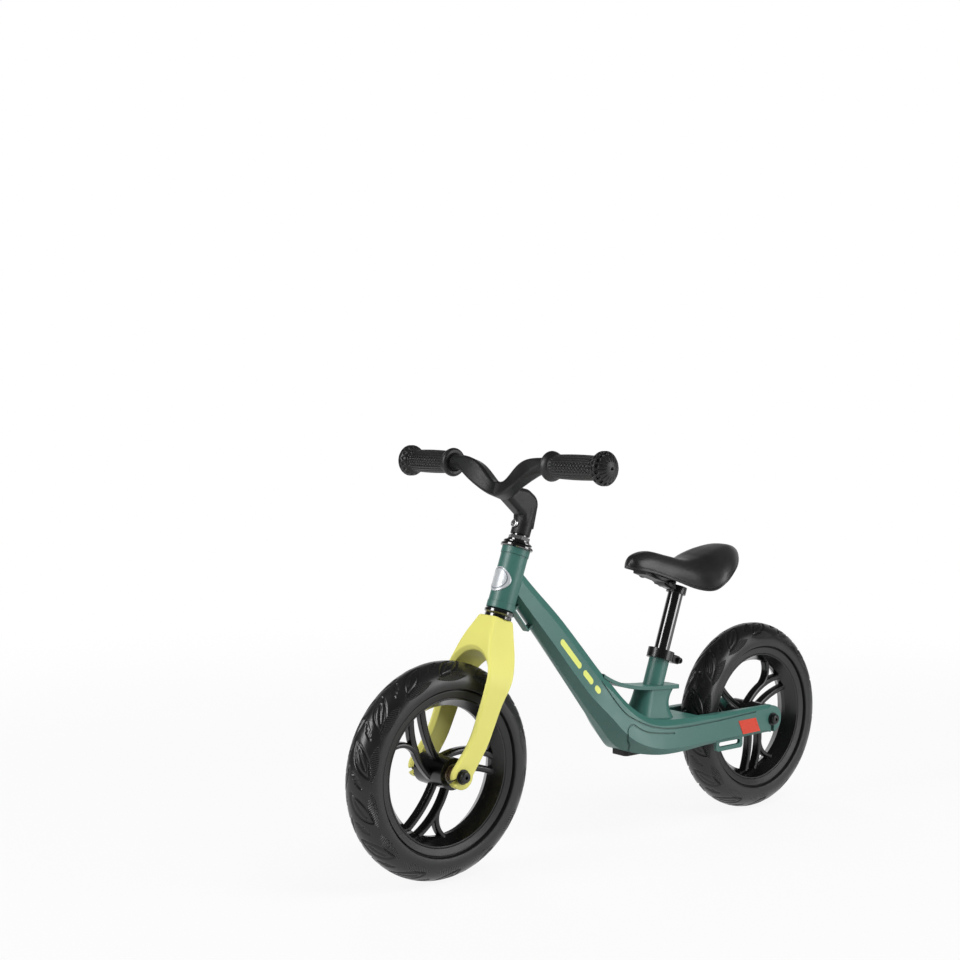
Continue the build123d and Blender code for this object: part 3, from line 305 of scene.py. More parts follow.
# Fork: a second casting in lemon-yellow enamel, with a flat brow, an arch over the tyre and bladed legs.
# It turns with the steerer tube, and its open dropouts take the front axle's bolts.
def painted_finish(name, tint, mottle, gloss, peel, depth, softness, sockets):
    """A film on metal, with the shader's other sockets set by name."""
    finish, tree, shader = new_finish(name)
    film = use_group(tree, paint_film, {"Tint": tint, "Mottle": mottle, "Gloss": gloss, "Peel": peel})
    tree.links.new(film["Color"], shader.inputs["Base Color"])
    tree.links.new(film["Roughness"], shader.inputs["Roughness"])
    for socket, value in sockets.items():
        shader.inputs[socket].default_value = value
    relief(tree, shader, film["Height"], depth, softness)
    return finish


fork_yellow = (0.68, 0.65, 0.16, 1)
yellow_enamel = painted_finish(
    "yellow_enamel", fork_yellow, mottle=0.14, gloss=0.45, peel=700, depth=peel_depth, softness=0.003,
    sockets={"Specular IOR Level": 0.4})
coat(yellow_enamel, "fork")


# Headset cups, crown race, cone nut, steerer tube and seat post: turned steel in gloss black enamel.
# Cups and race are pressed on, the nut is screwed on the steerer, and the post slides in the pillar.
gloss_black = (0.0032, 0.0032, 0.0035, 1)
lacquer = {"Specular IOR Level": 0.3, "Coat Weight": 1.0, "Coat IOR": 1.8, "Coat Roughness": 0.05}
black_enamel = painted_finish(
    "black_enamel", gloss_black, mottle=0.3, gloss=0.2, peel=500, depth=0.000001, softness=0.0007,
    sockets=lacquer)
coat(black_enamel, "lower_cup", "upper_cup", "crown_race", "cone_nut", "steerer_tube", "seat_post")


# Bearings, hub sleeves, axles, stem bolt and the seat clamp's barrel nut: ground steel.
# They are bare, with fine grinding marks, and most of them are hidden inside hubs and head tube.
ground_dark, ground_light = (0.52, 0.52, 0.53, 1), (0.66, 0.66, 0.67, 1)
scratch_scale = 700
bright_steel, tree, shader = new_finish("bright_steel")
scratch = noise(tree, object_place(tree), scratch_scale, detail=2)
tree.links.new(ramp(tree, scratch, 0.3, 0.7, 0.2, 0.38), shader.inputs["Roughness"])
tree.links.new(blend_colour(tree, scratch, ground_dark, ground_light), shader.inputs["Base Color"])
shader.inputs["Metallic"].default_value = 1.0
relief(tree, shader, scratch, depth=0.00001, softness=0.0004)
coat(bright_steel, "lower_bearing", "upper_bearing", "front_bearings", "rear_bearings", "front_hub_sleeve",
     "rear_hub_sleeve", "front_axle", "rear_axle", "stem_bolt", "seat_clamp_nut")


# Axle bolts and washers, seat clamp bolt, saddle bolt and nuts: blackened steel.
# Axle and seat clamp bolts have hexagon sockets, and the saddle bolt is a rod held by its nuts.
bolt_black = (0.016, 0.016, 0.017, 1)
blackened_steel = painted_finish(
    "blackened_steel", bolt_black, mottle=0.5, gloss=0.3, peel=1200, depth=0.00002, softness=0.0006,
    sockets={"Metallic": 0.5, "Specular IOR Level": 0.6})
coat(blackened_steel, "front_axle_bolts", "rear_axle_bolts", "front_axle_washers", "rear_axle_washers",
     "seat_clamp_bolt", "saddle_bolt", "saddle_nuts")


# Axle spacers: short turned bushes that fill the gap between each wheel bearing and its dropout.
# They are bronze-brown metal, held by the clamped axle.
bush_brown = (0.17, 0.105, 0.055, 1)
bush_bronze = painted_finish(
    "bush_bronze", bush_brown, mottle=0.6, gloss=0.38, peel=900, depth=0.00002, softness=0.0004,
    sockets={"Metallic": 0.6})
coat(bush_bronze, "front_axle_spacers", "rear_axle_spacers")


# Handlebar and stem: one moulding in charcoal-black, glass-filled nylon with a fine spark-eroded grain.
# It sits on the steerer tube and is held by the stem bolt.
bar_black = (0.007, 0.0072, 0.0074, 1)
bar_nylon = moulded_finish(
    "bar_nylon", bar_black, gloss=0.44, grain=2200, depth=0.00004, softness=0.0022, shine=0.32)
coat(bar_nylon, "handlebar")


# Wheels: rim, hub and three pairs of bowed spokes, moulded in one piece of gloss black nylon.
# The two ball bearings are pressed into the hub, and the tyre is stretched over the rim.
wheel_black = (0.0035, 0.0035, 0.0037, 1)
wheel_nylon = moulded_finish(
    "wheel_nylon", wheel_black, gloss=0.22, grain=900, depth=0.00001, softness=0.0012)
coat(wheel_nylon, "front_wheel", "rear_wheel")


# Tyres: solid black foam moulded in one piece, with a leaf-and-bar tread cut round the crown, hatched
# patches on the shoulders and a flat face beside the rim. One tread pitch is shaped here, and Geometry
# Nodes set it round the wheel.
scene = bpy.context.scene


def sampled_arc(start, through, end, count):
    """Points along the arc through three points, ends included."""
    (ax, ay), (bx, by), (cx, cy) = start, through, end
    a, b, c = (x**2 + y**2 for x, y in (start, through, end))
    turn = 2 * (ax * (by - cy) + bx * (cy - ay) + cx * (ay - by))
    ux = (a * (by - cy) + b * (cy - ay) + c * (ay - by)) / turn
    uy = (a * (cx - bx) + b * (ax - cx) + c * (bx - ax)) / turn
    radius = math.hypot(ax - ux, ay - uy)
    angles = [math.atan2(y - uy, x - ux) for x, y in (start, through, end)]
    full = (angles[2] - angles[0]) % (2 * math.pi)
    if (angles[1] - angles[0]) % (2 * math.pi) > full:
        full -= 2 * math.pi
    steps = [angles[0] + full * k / (count - 1) for k in range(count)]
    return [(ux + radius * math.cos(a), uy + radius * math.sin(a)) for a in steps]


def straight(start, end, count):
    """Points along a line, without its end."""
    return [tuple(a + (b - a) * k / count for a, b in zip(start, end)) for k in range(count)]


weld_distance = 0.00002
ring_of_sectors = bpy.data.node_groups.new("ring_of_sectors", "GeometryNodeTree")
ring_of_sectors.is_modifier = True
sector_inputs = {"Sector": "Geometry", "Count": "Int", "First": "Int", "Set": "Int", "Finish": "Material"}
for label, kind in sector_inputs.items():
    ring_of_sectors.interface.new_socket(label, in_out="INPUT", socket_type="NodeSocket" + kind)
ring_of_sectors.interface.new_socket("Ring", in_out="OUTPUT", socket_type="NodeSocketGeometry")
enter = ring_of_sectors.nodes.new("NodeGroupInput").outputs
feeds = {"Count": enter["Set"], "Offset": (0, 0, 0)}
spots = add_node(ring_of_sectors, "GeometryNodeMeshLine", feeds).outputs["Mesh"]
step = reckon(ring_of_sectors, "DIVIDE", 2 * math.pi, enter["Count"])
index = add_node(ring_of_sectors, "GeometryNodeInputIndex").outputs[0]
turn = reckon(ring_of_sectors, "MULTIPLY", reckon(ring_of_sectors, "ADD", index, enter["First"]), step)
swing = add_node(ring_of_sectors, "ShaderNodeCombineXYZ", {"Y": turn}).outputs[0]
swing = add_node(ring_of_sectors, "FunctionNodeEulerToRotation", {0: swing}).outputs[0]
feeds = {"Points": spots, "Instance": enter["Sector"], "Rotation": swing}
copies = add_node(ring_of_sectors, "GeometryNodeInstanceOnPoints", feeds).outputs[0]
ring = add_node(ring_of_sectors, "GeometryNodeRealizeInstances", {"Geometry": copies}).outputs[0]
feeds = {"Geometry": ring, "Distance": weld_distance}
ring = add_node(ring_of_sectors, "GeometryNodeMergeByDistance", feeds).outputs[0]
ring = add_node(ring_of_sectors, "GeometryNodeSetShadeSmooth", {"Geometry": ring}).outputs[0]
feeds = {"Geometry": ring, "Material": enter["Finish"]}
ring = add_node(ring_of_sectors, "GeometryNodeSetMaterial", feeds).outputs[0]
leave = ring_of_sectors.nodes.new("NodeGroupOutput").inputs
ring_of_sectors.links.new(ring, leave["Ring"])


def new_piece(name, mesh):
    """A mesh shown as a piece of the bike."""
    piece = bpy.data.objects.new(name, mesh)
    scene.collection.objects.link(piece)
    return piece


def run_of_sectors(name, points, guide, closed, count, first, number, finish):
    """Sector points (rows along the profile, columns round Y) set at some places round that axis."""
    rows, columns, _ = points.shape
    mesh = bpy.data.meshes.new(name)
    quads = []
    for r in range(rows if closed else rows - 1):
        here, there = r * columns, (r + 1) % rows * columns
        quads += [(here + c, here + c + 1, there + c + 1, there + c) for c in range(columns - 1)]
    mesh.from_pydata(points.reshape(-1, 3).tolist(), [], quads)
    layer = mesh.uv_layers.new(name="guide")
    order = np.empty(len(mesh.loops), np.int32)
    mesh.loops.foreach_get("vertex_index", order)
    layer.data.foreach_set("uv", guide.reshape(-1, 2)[order].astype(np.float32).ravel())
    sector = new_piece(name, mesh)
    modifier = sector.modifiers.new("ring", "NODES")
    modifier.node_group = ring_of_sectors
    values = {"Count": count, "First": first, "Set": number, "Finish": finish}
    for socket in ring_of_sectors.interface.items_tree:
        if socket.name in values:
            modifier[socket.identifier] = values[socket.name]
    bpy.context.view_layer.update()
    made = bpy.data.meshes.new_from_object(sector.evaluated_get(bpy.context.evaluated_depsgraph_get()))
    bpy.data.objects.remove(sector)
    return made


def whole_ring(name, runs, centre):
    """Runs of sectors welded to one piece."""
    form = bmesh.new()
    for run in runs:
        form.from_mesh(run)
    bmesh.ops.remove_doubles(form, verts=form.verts, dist=weld_distance)
    bmesh.ops.dissolve_degenerate(form, dist=1e-6, edges=form.edges)
    bmesh.ops.recalc_face_normals(form, faces=form.faces)
    made = runs[0]
    form.to_mesh(made)
    form.free()
    made.transform(Matrix.Translation(centre))
    made.name = name
    return new_piece(name, made)


def guide_of(tree):
    """The two coordinates of a piece's own guide map."""
    return parts_of(tree, add_node(tree, "ShaderNodeUVMap", uv_map="guide").outputs[0])


foam_black, face_black = (0.0085, 0.0085, 0.0088, 1), (0.0090, 0.0090, 0.0093, 1)
face_from_crown = 0.0485
hatch_pitch, hatch_lean, hatch_depth = 0.0032, 0.55, 0.0010
patch_middle, patch_half_width, patch_half_length = 0.0305, 0.0062, 0.027
tyre_foam, tree, shader = new_finish("tyre_foam")
skin = use_group(tree, moulded_skin, {"Tint": foam_black, "Gloss": 0.30, "Grain": 1300})
guide = guide_of(tree)
from_crown = reckon(tree, "ABSOLUTE", guide[1])
face = ramp(tree, from_crown, face_from_crown, face_from_crown + 0.0005)
slanted = reckon(tree, "MULTIPLY_ADD", guide[1], hatch_lean, guide[0])
hatch = reckon(tree, "SINE", reckon(tree, "MULTIPLY", slanted, 2 * math.pi / hatch_pitch))
taper = reckon(tree, "MULTIPLY", guide[0], 1 / patch_half_length)
taper = reckon(tree, "MULTIPLY", taper, taper)
taper = reckon(tree, "MULTIPLY_ADD", taper, -patch_half_width, patch_half_width)
across = reckon(tree, "ABSOLUTE", reckon(tree, "SUBTRACT", from_crown, patch_middle))
patch = ramp(tree, reckon(tree, "SUBTRACT", taper, across), -0.0002, 0.0005)
hatch = reckon(tree, "MULTIPLY", hatch, patch)
tree.links.new(blend_colour(tree, face, skin["Color"], face_black), shader.inputs["Base Color"])
dulled = ramp(tree, from_crown, 0.034, 0.040, 0, 0.12)
tree.links.new(reckon(tree, "ADD", skin["Roughness"], dulled), shader.inputs["Roughness"])
shader.inputs["Specular IOR Level"].default_value = 0.45
height = reckon(tree, "MULTIPLY_ADD", hatch, 0.6, reckon(tree, "MULTIPLY", skin["Height"], 0.03))
bump = add_node(tree, "ShaderNodeBump", {"Height": height, "Distance": hatch_depth})
tree.links.new(bump.outputs[0], shader.inputs["Normal"])

crown_r, section_r, bead_r, wall_r = 140.0, 26.0, 95.05, 107.3
keel_r, keel_half, bead_half = 101.05, 8.05, 18.2
crown_rows = 85
section_centre_r = crown_r - section_r
lean = math.acos((wall_r - section_centre_r) / section_r)
crown = [lean - 2 * lean * k / (crown_rows - 1) for k in range(crown_rows)]
half = straight((keel_r, 0), (keel_r, keel_half), 2) + straight((keel_r, keel_half), (bead_r, keel_half), 2)
half += straight((bead_r, keel_half), (bead_r, bead_half), 3)
half += sampled_arc((bead_r, bead_half), (95.4, 19.2), (96.4, 19.7), 4)
half += straight((96.6, 19.75), (103.6, 21.7), 4)
half += sampled_arc((103.6, 21.7), (104.5, 21.6), (104.9, 20.9), 4)
half += [(105.3, 19.9), (105.9, 19.5), (106.4, 19.9), (106.7, 22.0), (106.95, 24.0)]
profile = [(r, z, 0.049 + 0.001 * k, 0.0) for k, (r, z) in enumerate(half)]
for a in crown:
    crown_z = section_r * math.sin(a)
    profile.append((section_centre_r + section_r * math.cos(a), crown_z, section_r * a / 1000, 1.0))
profile += [(r, -z, -v, 0.0) for r, z, v, _ in reversed(profile[1:len(half)])]
rows = np.array(profile)
on_crown = rows[:, 3][:, None]

tread_pitches = 14
tread_columns = 54
tread_depth = 1.7
tread_edge, tread_fade = 34, 6
pitch = 2 * math.pi * crown_r / tread_pitches
u, v = np.meshgrid(np.linspace(-pitch / 2, pitch / 2, tread_columns + 1), rows[:, 2] * 1000)


def groove(distance, width):
    """Depth share of a round-bottomed groove."""
    return np.clip(1 - (distance / width) ** 2, 0, 1)


def to_segment(u, v, start, end):
    """How far along a segment, and how far from it."""
    du, dv = end[0] - start[0], end[1] - start[1]
    size = math.hypot(du, dv)
    t = np.clip(((u - start[0]) * du + (v - start[1]) * dv) / size**2, 0, 1)
    off = np.hypot(u - start[0] - t * du, v - start[1] - t * dv)
    return t, off


leaf_line, leaf_belly, leaf_groove = ((-24, 3), (18, 27)), 7.5, 1.7
vein_line, vein_groove, vein_share = ((-14, 9), (8, 21)), 1.4, 0.8
bar_line, bar_step, bar_groove, bar_count = ((14, 5), (21, 13)), (5.5, 2.5), 1.5, 3
worn = np.zeros_like(u)
for side in (1, -1):
    for step in (-1, 0, 1):
        base = pitch * (step + (0.5 if side < 0 else 0))
        t, off = to_segment(u - base, v * side, *leaf_line)
        outline = np.abs(off - leaf_belly * np.sin(math.pi * t) ** 0.8)
        worn = np.maximum(worn, groove(outline, leaf_groove))
        t, off = to_segment(u - base, v * side, *vein_line)
        worn = np.maximum(worn, vein_share * groove(off, vein_groove))
        for bar in range(bar_count):
            ends = [(x + bar_step[0] * bar, y + bar_step[1] * bar) for x, y in bar_line]
            t, off = to_segment(u - base, v * side, *ends)
            worn = np.maximum(worn, groove(off, bar_groove))
worn *= on_crown * np.clip((tread_edge - np.abs(v)) / tread_fade, 0, 1)
worn = np.minimum(worn, 1)
outward_r = on_crown * (rows[:, 0][:, None] - section_centre_r) / section_r
outward_y = on_crown * rows[:, 1][:, None] / section_r
reach = rows[:, 0][:, None] - worn * tread_depth * outward_r
across = rows[:, 1][:, None] - worn * tread_depth * outward_y
angle = u / crown_r
tyre_points = np.stack([reach * np.sin(angle), across, reach * np.cos(angle)], axis=2) / 1000
tyre_guide = np.stack([u / 1000, np.repeat(rows[:, 2][:, None], tread_columns + 1, 1)], axis=2)
for body in ("front_wheel", "rear_wheel"):
    solid = body.replace("wheel", "tyre")
    low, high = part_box(solid)
    ring = run_of_sectors(
        "tyre_pitch", tyre_points, tyre_guide, True, tread_pitches, 0, tread_pitches, tyre_foam)
    tyre = whole_ring(body.replace("wheel", "tread"), [ring], (low + high) / 2)
    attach(tyre, body)
    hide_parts(solid)


# Grips: soft black rubber sleeves pushed on the bar ends. Each has a round flange inside, a ribbed barrel
# pitted for the fingers, a bulb with rings of deep pockets, and a domed end with slots and a small vent.
grip_black = (0.006, 0.006, 0.0062, 1)
grip_rubber = moulded_finish(
    "grip_rubber", grip_black, gloss=0.45, grain=1600, depth=0.00001, softness=0.0002)
low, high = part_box("left_grip")
grip_axis = Vector(((low.x + high.x) / 2, 0, (low.z + high.z) / 2))
grip_foot, grip_tip = low.y * 1000, high.y * 1000
flange_r, bulb_r, neck_r, barrel_r, bore_r = 19.5, 21.5, 15.0, 16.0, 11.15
flange_end = grip_foot + 9
bulb_start = grip_tip - 23
waist = (flange_end + bulb_start) / 2
dome_edge = (bulb_r * 0.72, grip_tip - bulb_r * 0.24)
outline = [(0.0, grip_tip - 4.5), (1.4, grip_tip - 4.5), (1.7, grip_tip - 0.6), (2.4, grip_tip - 0.1)]
outline += sampled_arc((3.2, grip_tip - 0.1), dome_edge, (bulb_r, grip_tip - 11.5), 44)
outline += sampled_arc(
    (bulb_r, grip_tip - 11.9), (bulb_r * 0.9, bulb_start + 3), (neck_r + 0.3, bulb_start), 30)
outline += sampled_arc((neck_r, bulb_start - 0.4), (barrel_r, waist), (neck_r, flange_end + 3.4), 110)
outline += sampled_arc(
    (neck_r + 0.2, flange_end + 3), (flange_r * 0.94, flange_end - 1), (flange_r, flange_end - 5), 14)
outline += sampled_arc(
    (flange_r, flange_end - 5.4), (flange_r * 0.92, grip_foot + 0.8), (neck_r * 0.9, grip_foot), 12)
outline += [(bore_r, grip_foot), (bore_r, waist), (bore_r, grip_tip - 5), (0.0, grip_tip - 5)]
outline = np.array(outline)
slope = np.gradient(outline, axis=0)
size = np.hypot(slope[:, 0], slope[:, 1]) + 1e-9
out_r, out_y = np.abs(slope[:, 1] / size)[:, None], (slope[:, 0] / size)[:, None]

grip_sectors, grip_columns = 8, 40
half_angle = math.pi / grip_sectors
angle, along = np.meshgrid(np.linspace(-half_angle, half_angle, grip_columns + 1), outline[:, 1])
radius = np.repeat(outline[:, 0][:, None], grip_columns + 1, 1)
outside = np.clip((radius - 12.5) / 0.5, 0, 1)


def from_nearest(value, step, offset=0.0):
    """Distance from the nearest of evenly spaced marks."""
    return np.abs((value / step - offset + 0.5) % 1 - 0.5) * step


ribs_per_sector, pockets_per_sector = 3, 2
rib_step = 2 * half_angle / ribs_per_sector
pocket_step = 2 * half_angle / pockets_per_sector
rib_depth, pocket_depth, slot_depth, pit_depth = 1.0, 2.6, 0.7, 2.2
pit_pitch, pit_r = 5.4, 1.7
pit_start = flange_end + 14
pocket_rows = ((-2.6, 2.2, 1.8), (3.4, 2.6, 2.2), (9.2, 3.0, 2.4), (14.6, 2.6, 2.0))
barrel_begins = np.clip((along - flange_end - 5) / 3, 0, 1)
barrel = barrel_begins * np.clip((bulb_start - 5.2 - along) / 1, 0, 1) * outside
furrow = from_nearest(angle, rib_step, 0.5) * radius
ribbed = rib_depth * barrel * np.clip((1.2 - furrow) / 0.8, 0, 1)
for row, (ahead, wide, tall) in enumerate(pocket_rows):
    across = from_nearest(angle, pocket_step, 0.5 * (row % 2)) * radius
    away = np.hypot(across / wide, (along - bulb_start - ahead) / tall)
    ribbed = np.maximum(ribbed, pocket_depth * np.clip((1 - away) / 0.25, 0, 1) * outside)
slot = np.clip((1.1 - from_nearest(angle, pocket_step) * radius) / 0.5, 0, 1)
slot *= np.clip((radius - 9) / 1.5, 0, 1) * np.clip((18.5 - radius) / 1.5, 0, 1)
ribbed = np.maximum(ribbed, slot_depth * slot * (along > grip_tip - 7))
pit_zone = np.clip((along - pit_start) / 2, 0, 1) * barrel
pitted = ribbed * (1 - pit_zone)
for offset in (0.0, 0.5):
    across = from_nearest(angle, pocket_step, offset) * radius
    away = np.hypot(across, from_nearest(along - waist, pit_pitch, offset))
    pitted = np.maximum(pitted, pit_depth * pit_zone * np.clip((pit_r - away) / 0.5, 0, 1))
pitted_place = 2
grip_guide = np.stack([angle, along / 1000], axis=2)
for hand, side in (("left", 1), ("right", -1)):
    runs = []
    for dent, first, number in ((pitted, pitted_place, 1), (ribbed, pitted_place + 1, grip_sectors - 1)):
        sunk_r = radius - out_r * dent
        sunk_y = along - out_y * dent * (along > bulb_start + 11)
        points = np.stack([sunk_r * np.sin(angle), sunk_y * side, sunk_r * np.cos(angle)], axis=2) / 1000
        runs.append(run_of_sectors(
            "grip_sector", points, grip_guide, False, grip_sectors, first, number, grip_rubber))
    grip = whole_ring(hand + "_rubber_grip", runs, grip_axis)
    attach(grip, "steering")
    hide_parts(hand + "_grip")


# Lock nut, seat clamp, saddle clamp and post plug: small fittings of the steerer, the post and the saddle.
# They are castings and mouldings in satin black.
satin_black = (0.0045, 0.0045, 0.0048, 1)
clamp_black = moulded_finish(
    "clamp_black", satin_black, gloss=0.30, grain=1500, depth=0.00002, softness=0.0009, coat_weight=0.1)
coat(clamp_black, "lock_nut", "seat_clamp", "saddle_clamp", "seat_post_plug")


# Saddle base: a ribless pan under the cushion, with a keel that takes the clamp's bolt.
# It is moulded in black polypropylene.
pan_black = (0.006, 0.006, 0.0062, 1)
base_plastic = moulded_finish(
    "base_plastic", pan_black, gloss=0.5, grain=1800, depth=0.00006, softness=0.0008)
coat(base_plastic, "saddle_base")


# Saddle cushion: moulded foam under a smooth black vinyl cover, raised at nose and tail, drawn in at the
# waist, and turned under a thin bead at its lower edge. Each row has a place along the bike, a half width,
# and the heights of rim and crown, in millimetres.
cushion_rows = (
    (-36.0, 5.0, 379.5, 386.0), (-45.0, 14.0, 376.5, 396.5), (-72.0, 20.0, 370.0, 401.2),
    (-106.0, 27.0, 358.0, 394.0), (-138.0, 41.0, 345.0, 387.0), (-160.0, 54.0, 343.0, 389.0),
    (-180.0, 59.0, 354.0, 394.5), (-203.0, 53.0, 367.0, 400.5), (-228.0, 38.0, 376.0, 404.5),
    (-248.0, 21.0, 384.5, 401.0), (-257.0, 8.0, 390.0, 396.0))
cushion_stations, cushion_side_points = 61, 37
cover_end = 24
tip_bulge = 0.0012


def flowing(points, shares):
    """Points on a smooth curve through the given ones, at shares of its count."""
    points = np.vstack([2 * points[0] - points[1], points, 2 * points[-1] - points[-2]])
    made = []
    for share in shares:
        k = min(int(share), len(points) - 4)
        t = share - k
        a, b, c, d = points[k:k + 4]
        square, cube = 2 * a - 5 * b + 4 * c - d, 3 * b - a - 3 * c + d
        made.append(0.5 * (2 * b + (c - a) * t + square * t**2 + cube * t**3))
    return np.array(made)


stations = flowing(np.array(cushion_rows), np.linspace(0, len(cushion_rows) - 1, cushion_stations))
form = bmesh.new()
guide_layer = form.loops.layers.uv.new("guide")
loops, marks = [], []
for x, half, rim, crown_z in stations:
    tall = crown_z - rim
    keys = np.array([
        (0.0, crown_z), (0.44 * half, crown_z - 0.055 * tall), (0.80 * half, rim + 0.66 * tall),
        (0.955 * half, rim + 0.36 * tall), (0.985 * half, rim + 0.12 * tall + 1.2), (1.0 * half, rim + 1.6),
        (0.985 * half, rim + 0.1), (0.93 * half, rim + 0.06 * tall), (0.6 * half, rim + 0.25 * tall),
        (0.0, rim + 0.36 * tall)])
    side = flowing(keys, np.linspace(0, len(keys) - 1, cushion_side_points))
    side[0, 0] = side[-1, 0] = 0
    around = [(y, z) for y, z in side] + [(-y, z) for y, z in side[-2:0:-1]]
    loops.append([form.verts.new((x / 1000, y / 1000, z / 1000)) for y, z in around])
    shown = [k <= cover_end or k >= len(around) - cover_end for k in range(len(around))]
    marks.append([(z - rim) / 1000 if cover else -0.01 for cover, (y, z) in zip(shown, around)])
for k in range(len(loops) - 1):
    for j in range(len(loops[k])):
        i = (j + 1) % len(loops[k])
        quad = form.faces.new((loops[k][j], loops[k][i], loops[k + 1][i], loops[k + 1][j]))
        for loop, mark in zip(quad.loops, (marks[k][j], marks[k][i], marks[k + 1][i], marks[k + 1][j])):
            loop[guide_layer].uv = (loop.vert.co.x, mark)
for ends, bulge in ((loops[0], tip_bulge), (loops[-1], -tip_bulge)):
    middle = form.verts.new(sum((v.co for v in ends), Vector()) / len(ends))
    middle.co.x += bulge
    for j in range(len(ends)):
        form.faces.new((ends[j], ends[(j + 1) % len(ends)], middle))
bmesh.ops.recalc_face_normals(form, faces=form.faces)
mesh = bpy.data.meshes.new("saddle_cover")
form.to_mesh(mesh)
form.free()
mesh.polygons.foreach_set("use_smooth", [True] * len(mesh.polygons))
saddle_cover = new_piece("saddle_cover", mesh)
swell = saddle_cover.modifiers.new("swell", "SUBSURF")
swell.levels = swell.render_levels = 1
made = bpy.data.meshes.new_from_object(saddle_cover.evaluated_get(bpy.context.evaluated_depsgraph_get()))
saddle_cover.modifiers.clear()
saddle_cover.data = made

vinyl_black, seam_black = (0.0105, 0.0105, 0.0108, 1), (0.004, 0.004, 0.004, 1)
seam_height, seam_half_width, seam_depth = 0.0042, 0.0012, 0.0008
saddle_vinyl, tree, shader = new_finish("saddle_vinyl")
skin = use_group(tree, moulded_skin, {"Tint": vinyl_black, "Gloss": 0.42, "Grain": 1500})
from_seam = reckon(tree, "ABSOLUTE", reckon(tree, "SUBTRACT", guide_of(tree)[1], seam_height))
seam = ramp(tree, from_seam, 0.0003, seam_half_width, 1, 0)
tree.links.new(blend_colour(tree, seam, skin["Color"], seam_black), shader.inputs["Base Color"])
tree.links.new(skin["Roughness"], shader.inputs["Roughness"])
shader.inputs["Specular IOR Level"].default_value = 0.5
height = reckon(tree, "MULTIPLY_ADD", skin["Height"], 0.03, reckon(tree, "MULTIPLY", seam, -1.0))
bump = add_node(tree, "ShaderNodeBump", {"Height": height, "Distance": seam_depth})
tree.links.new(bump.outputs[0], shader.inputs["Normal"])
saddle_cover.data.materials.append(saddle_vinyl)
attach(saddle_cover, "saddle")
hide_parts("saddle_cushion")


# Studio: a pale floor running out to a white surround, a tall soft box ahead of the bike and another beside
# it, and two soft boxes that do not show in mirrors, one overhead and one behind.
floor_r, floor_drop, floor_corners = 9, 0.0006, 96
corners = np.linspace(0, 2 * math.pi, floor_corners, endpoint=False)
floor_mesh = bpy.data.meshes.new("floor")
floor_rim = [(floor_r * math.cos(a), floor_r * math.sin(a), -floor_drop) for a in corners]
floor_mesh.from_pydata(floor_rim, [], [list(range(floor_corners))])
floor = new_piece("floor", floor_mesh)
floor_white, tree, shader = new_finish("floor_white")
shader.inputs["Base Color"].default_value = (0.5, 0.5, 0.5, 1)
shader.inputs["Roughness"].default_value = 0.9
rays = add_node(tree, "ShaderNodeLightPath").outputs
mirrored = reckon(tree, "ADD", rays["Is Glossy Ray"], rays["Is Transmission Ray"], clamp=True)
glow = add_node(tree, "ShaderNodeEmission", {"Color": (1, 1, 1, 1), "Strength": 1.0}).outputs[0]
far = shift(tree, "LENGTH", object_place(tree))
seen_glow = reckon(tree, "MULTIPLY", rays["Is Camera Ray"], ramp(tree, far, 0.7, 2.4, 0.90, 1.0))
mirror_glow = reckon(tree, "MULTIPLY", mirrored, ramp(tree, far, 0.9, 2.0, 1.0, 0.1))
mixed = add_node(tree, "ShaderNodeMixShader", {0: reckon(tree, "MAXIMUM", seen_glow, mirror_glow)})
tree.links.new(shader.outputs[0], mixed.inputs[1])
tree.links.new(glow, mixed.inputs[2])
tree.links.new(mixed.outputs[0], tree.nodes["Material Output"].inputs["Surface"])
floor_mesh.materials.append(floor_white)

ambient_grey, mirror_grey, backdrop_white = (0.17, 0.17, 0.17, 1), (0.06, 0.06, 0.06, 1), (1, 1, 1, 1)
backdrop_heading = (-0.64, -0.77, 0)
world = bpy.data.worlds.new("surround")
scene.world = world
world.use_nodes = True
tree = world.node_tree
rays = add_node(tree, "ShaderNodeLightPath").outputs
seen = reckon(tree, "ADD", rays["Is Camera Ray"], rays["Is Glossy Ray"])
seen = reckon(tree, "ADD", seen, rays["Is Transmission Ray"], clamp=True)
heading = add_node(tree, "ShaderNodeTexCoord").outputs["Generated"]
behind = ramp(tree, shift(tree, "DOT_PRODUCT", heading, backdrop_heading), 0.55, 0.95)
low_down = ramp(tree, shift(tree, "DOT_PRODUCT", heading, (0, 0, 1)), 0.25, 0.60, 1, 0)
backdrop = reckon(tree, "MAXIMUM", reckon(tree, "MULTIPLY", behind, low_down), rays["Is Camera Ray"])
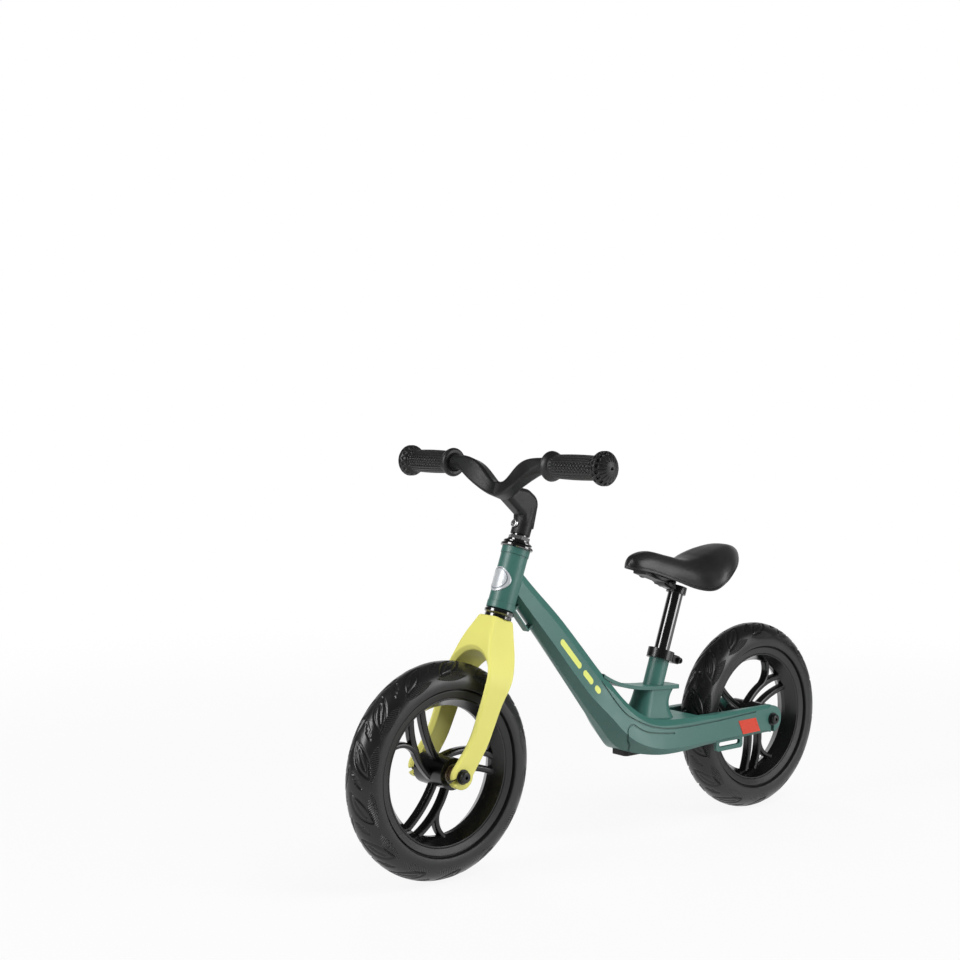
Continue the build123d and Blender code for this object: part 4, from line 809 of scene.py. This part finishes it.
sweep = blend_colour(tree, backdrop, mirror_grey, backdrop_white)
tree.links.new(blend_colour(tree, seen, ambient_grey, sweep), tree.nodes["Background"].inputs["Color"])


def soft_box(name, spot, aim, wide, tall, power, mirrored=True):
    """A rectangular soft light aimed at a point."""
    lamp = bpy.data.lights.new(name, "AREA")
    lamp.shape = "RECTANGLE"
    lamp.size, lamp.size_y, lamp.energy = wide, tall, power
    holder = bpy.data.objects.new(name, lamp)
    holder.location = spot
    holder.visible_glossy = mirrored
    holder.rotation_euler = (Vector(aim) - Vector(spot)).to_track_quat("-Z", "Y").to_euler()
    scene.collection.objects.link(holder)


soft_box("front_box", (2.3, -0.35, 1.4), (0.1, 0, 0.3), wide=1.0, tall=1.7, power=53)
soft_box("side_box", (-1.2, 1.95, 0.9), (-0.1, 0, 0.5), wide=1.1, tall=1.7, power=32)
soft_box("top_box", (-0.3, 1.1, 2.3), (0, 0, 0.2), wide=1.2, tall=1.2, power=45, mirrored=False)
soft_box("back_box", (-0.9, -2.0, 1.7), (0, 0, 0.3), wide=1.2, tall=1.2, power=26, mirrored=False)


# Camera: at the height and three-quarter angle of the photograph, front wheel to the left.
# It is turned by its heading, its height over the horizon and a slight roll.
azimuth, elevation, roll = math.radians(140.18), math.radians(2.35), math.radians(0.38)
camera_place = Vector((1.4941, 1.5089, 0.5893))
level = math.cos(elevation)
back = Vector((math.sin(azimuth) * level, -math.cos(azimuth) * level, math.sin(elevation)))
right = (-back).cross(Vector((0, 0, 1))).normalized()
up = right.cross(-back)
right, up = right * math.cos(roll) + up * math.sin(roll), up * math.cos(roll) - right * math.sin(roll)
camera = bpy.data.objects.new("camera", bpy.data.cameras.new("camera"))
scene.collection.objects.link(camera)
camera.data.sensor_width = 36.0
camera.data.lens = 57.11
camera.data.clip_start, camera.data.clip_end = 0.05, 60
turned = Matrix((right, up, back)).transposed().to_4x4()
camera.matrix_world = Matrix.Translation(camera_place) @ turned
scene.camera = camera
scene.view_settings.view_transform = "Standard"
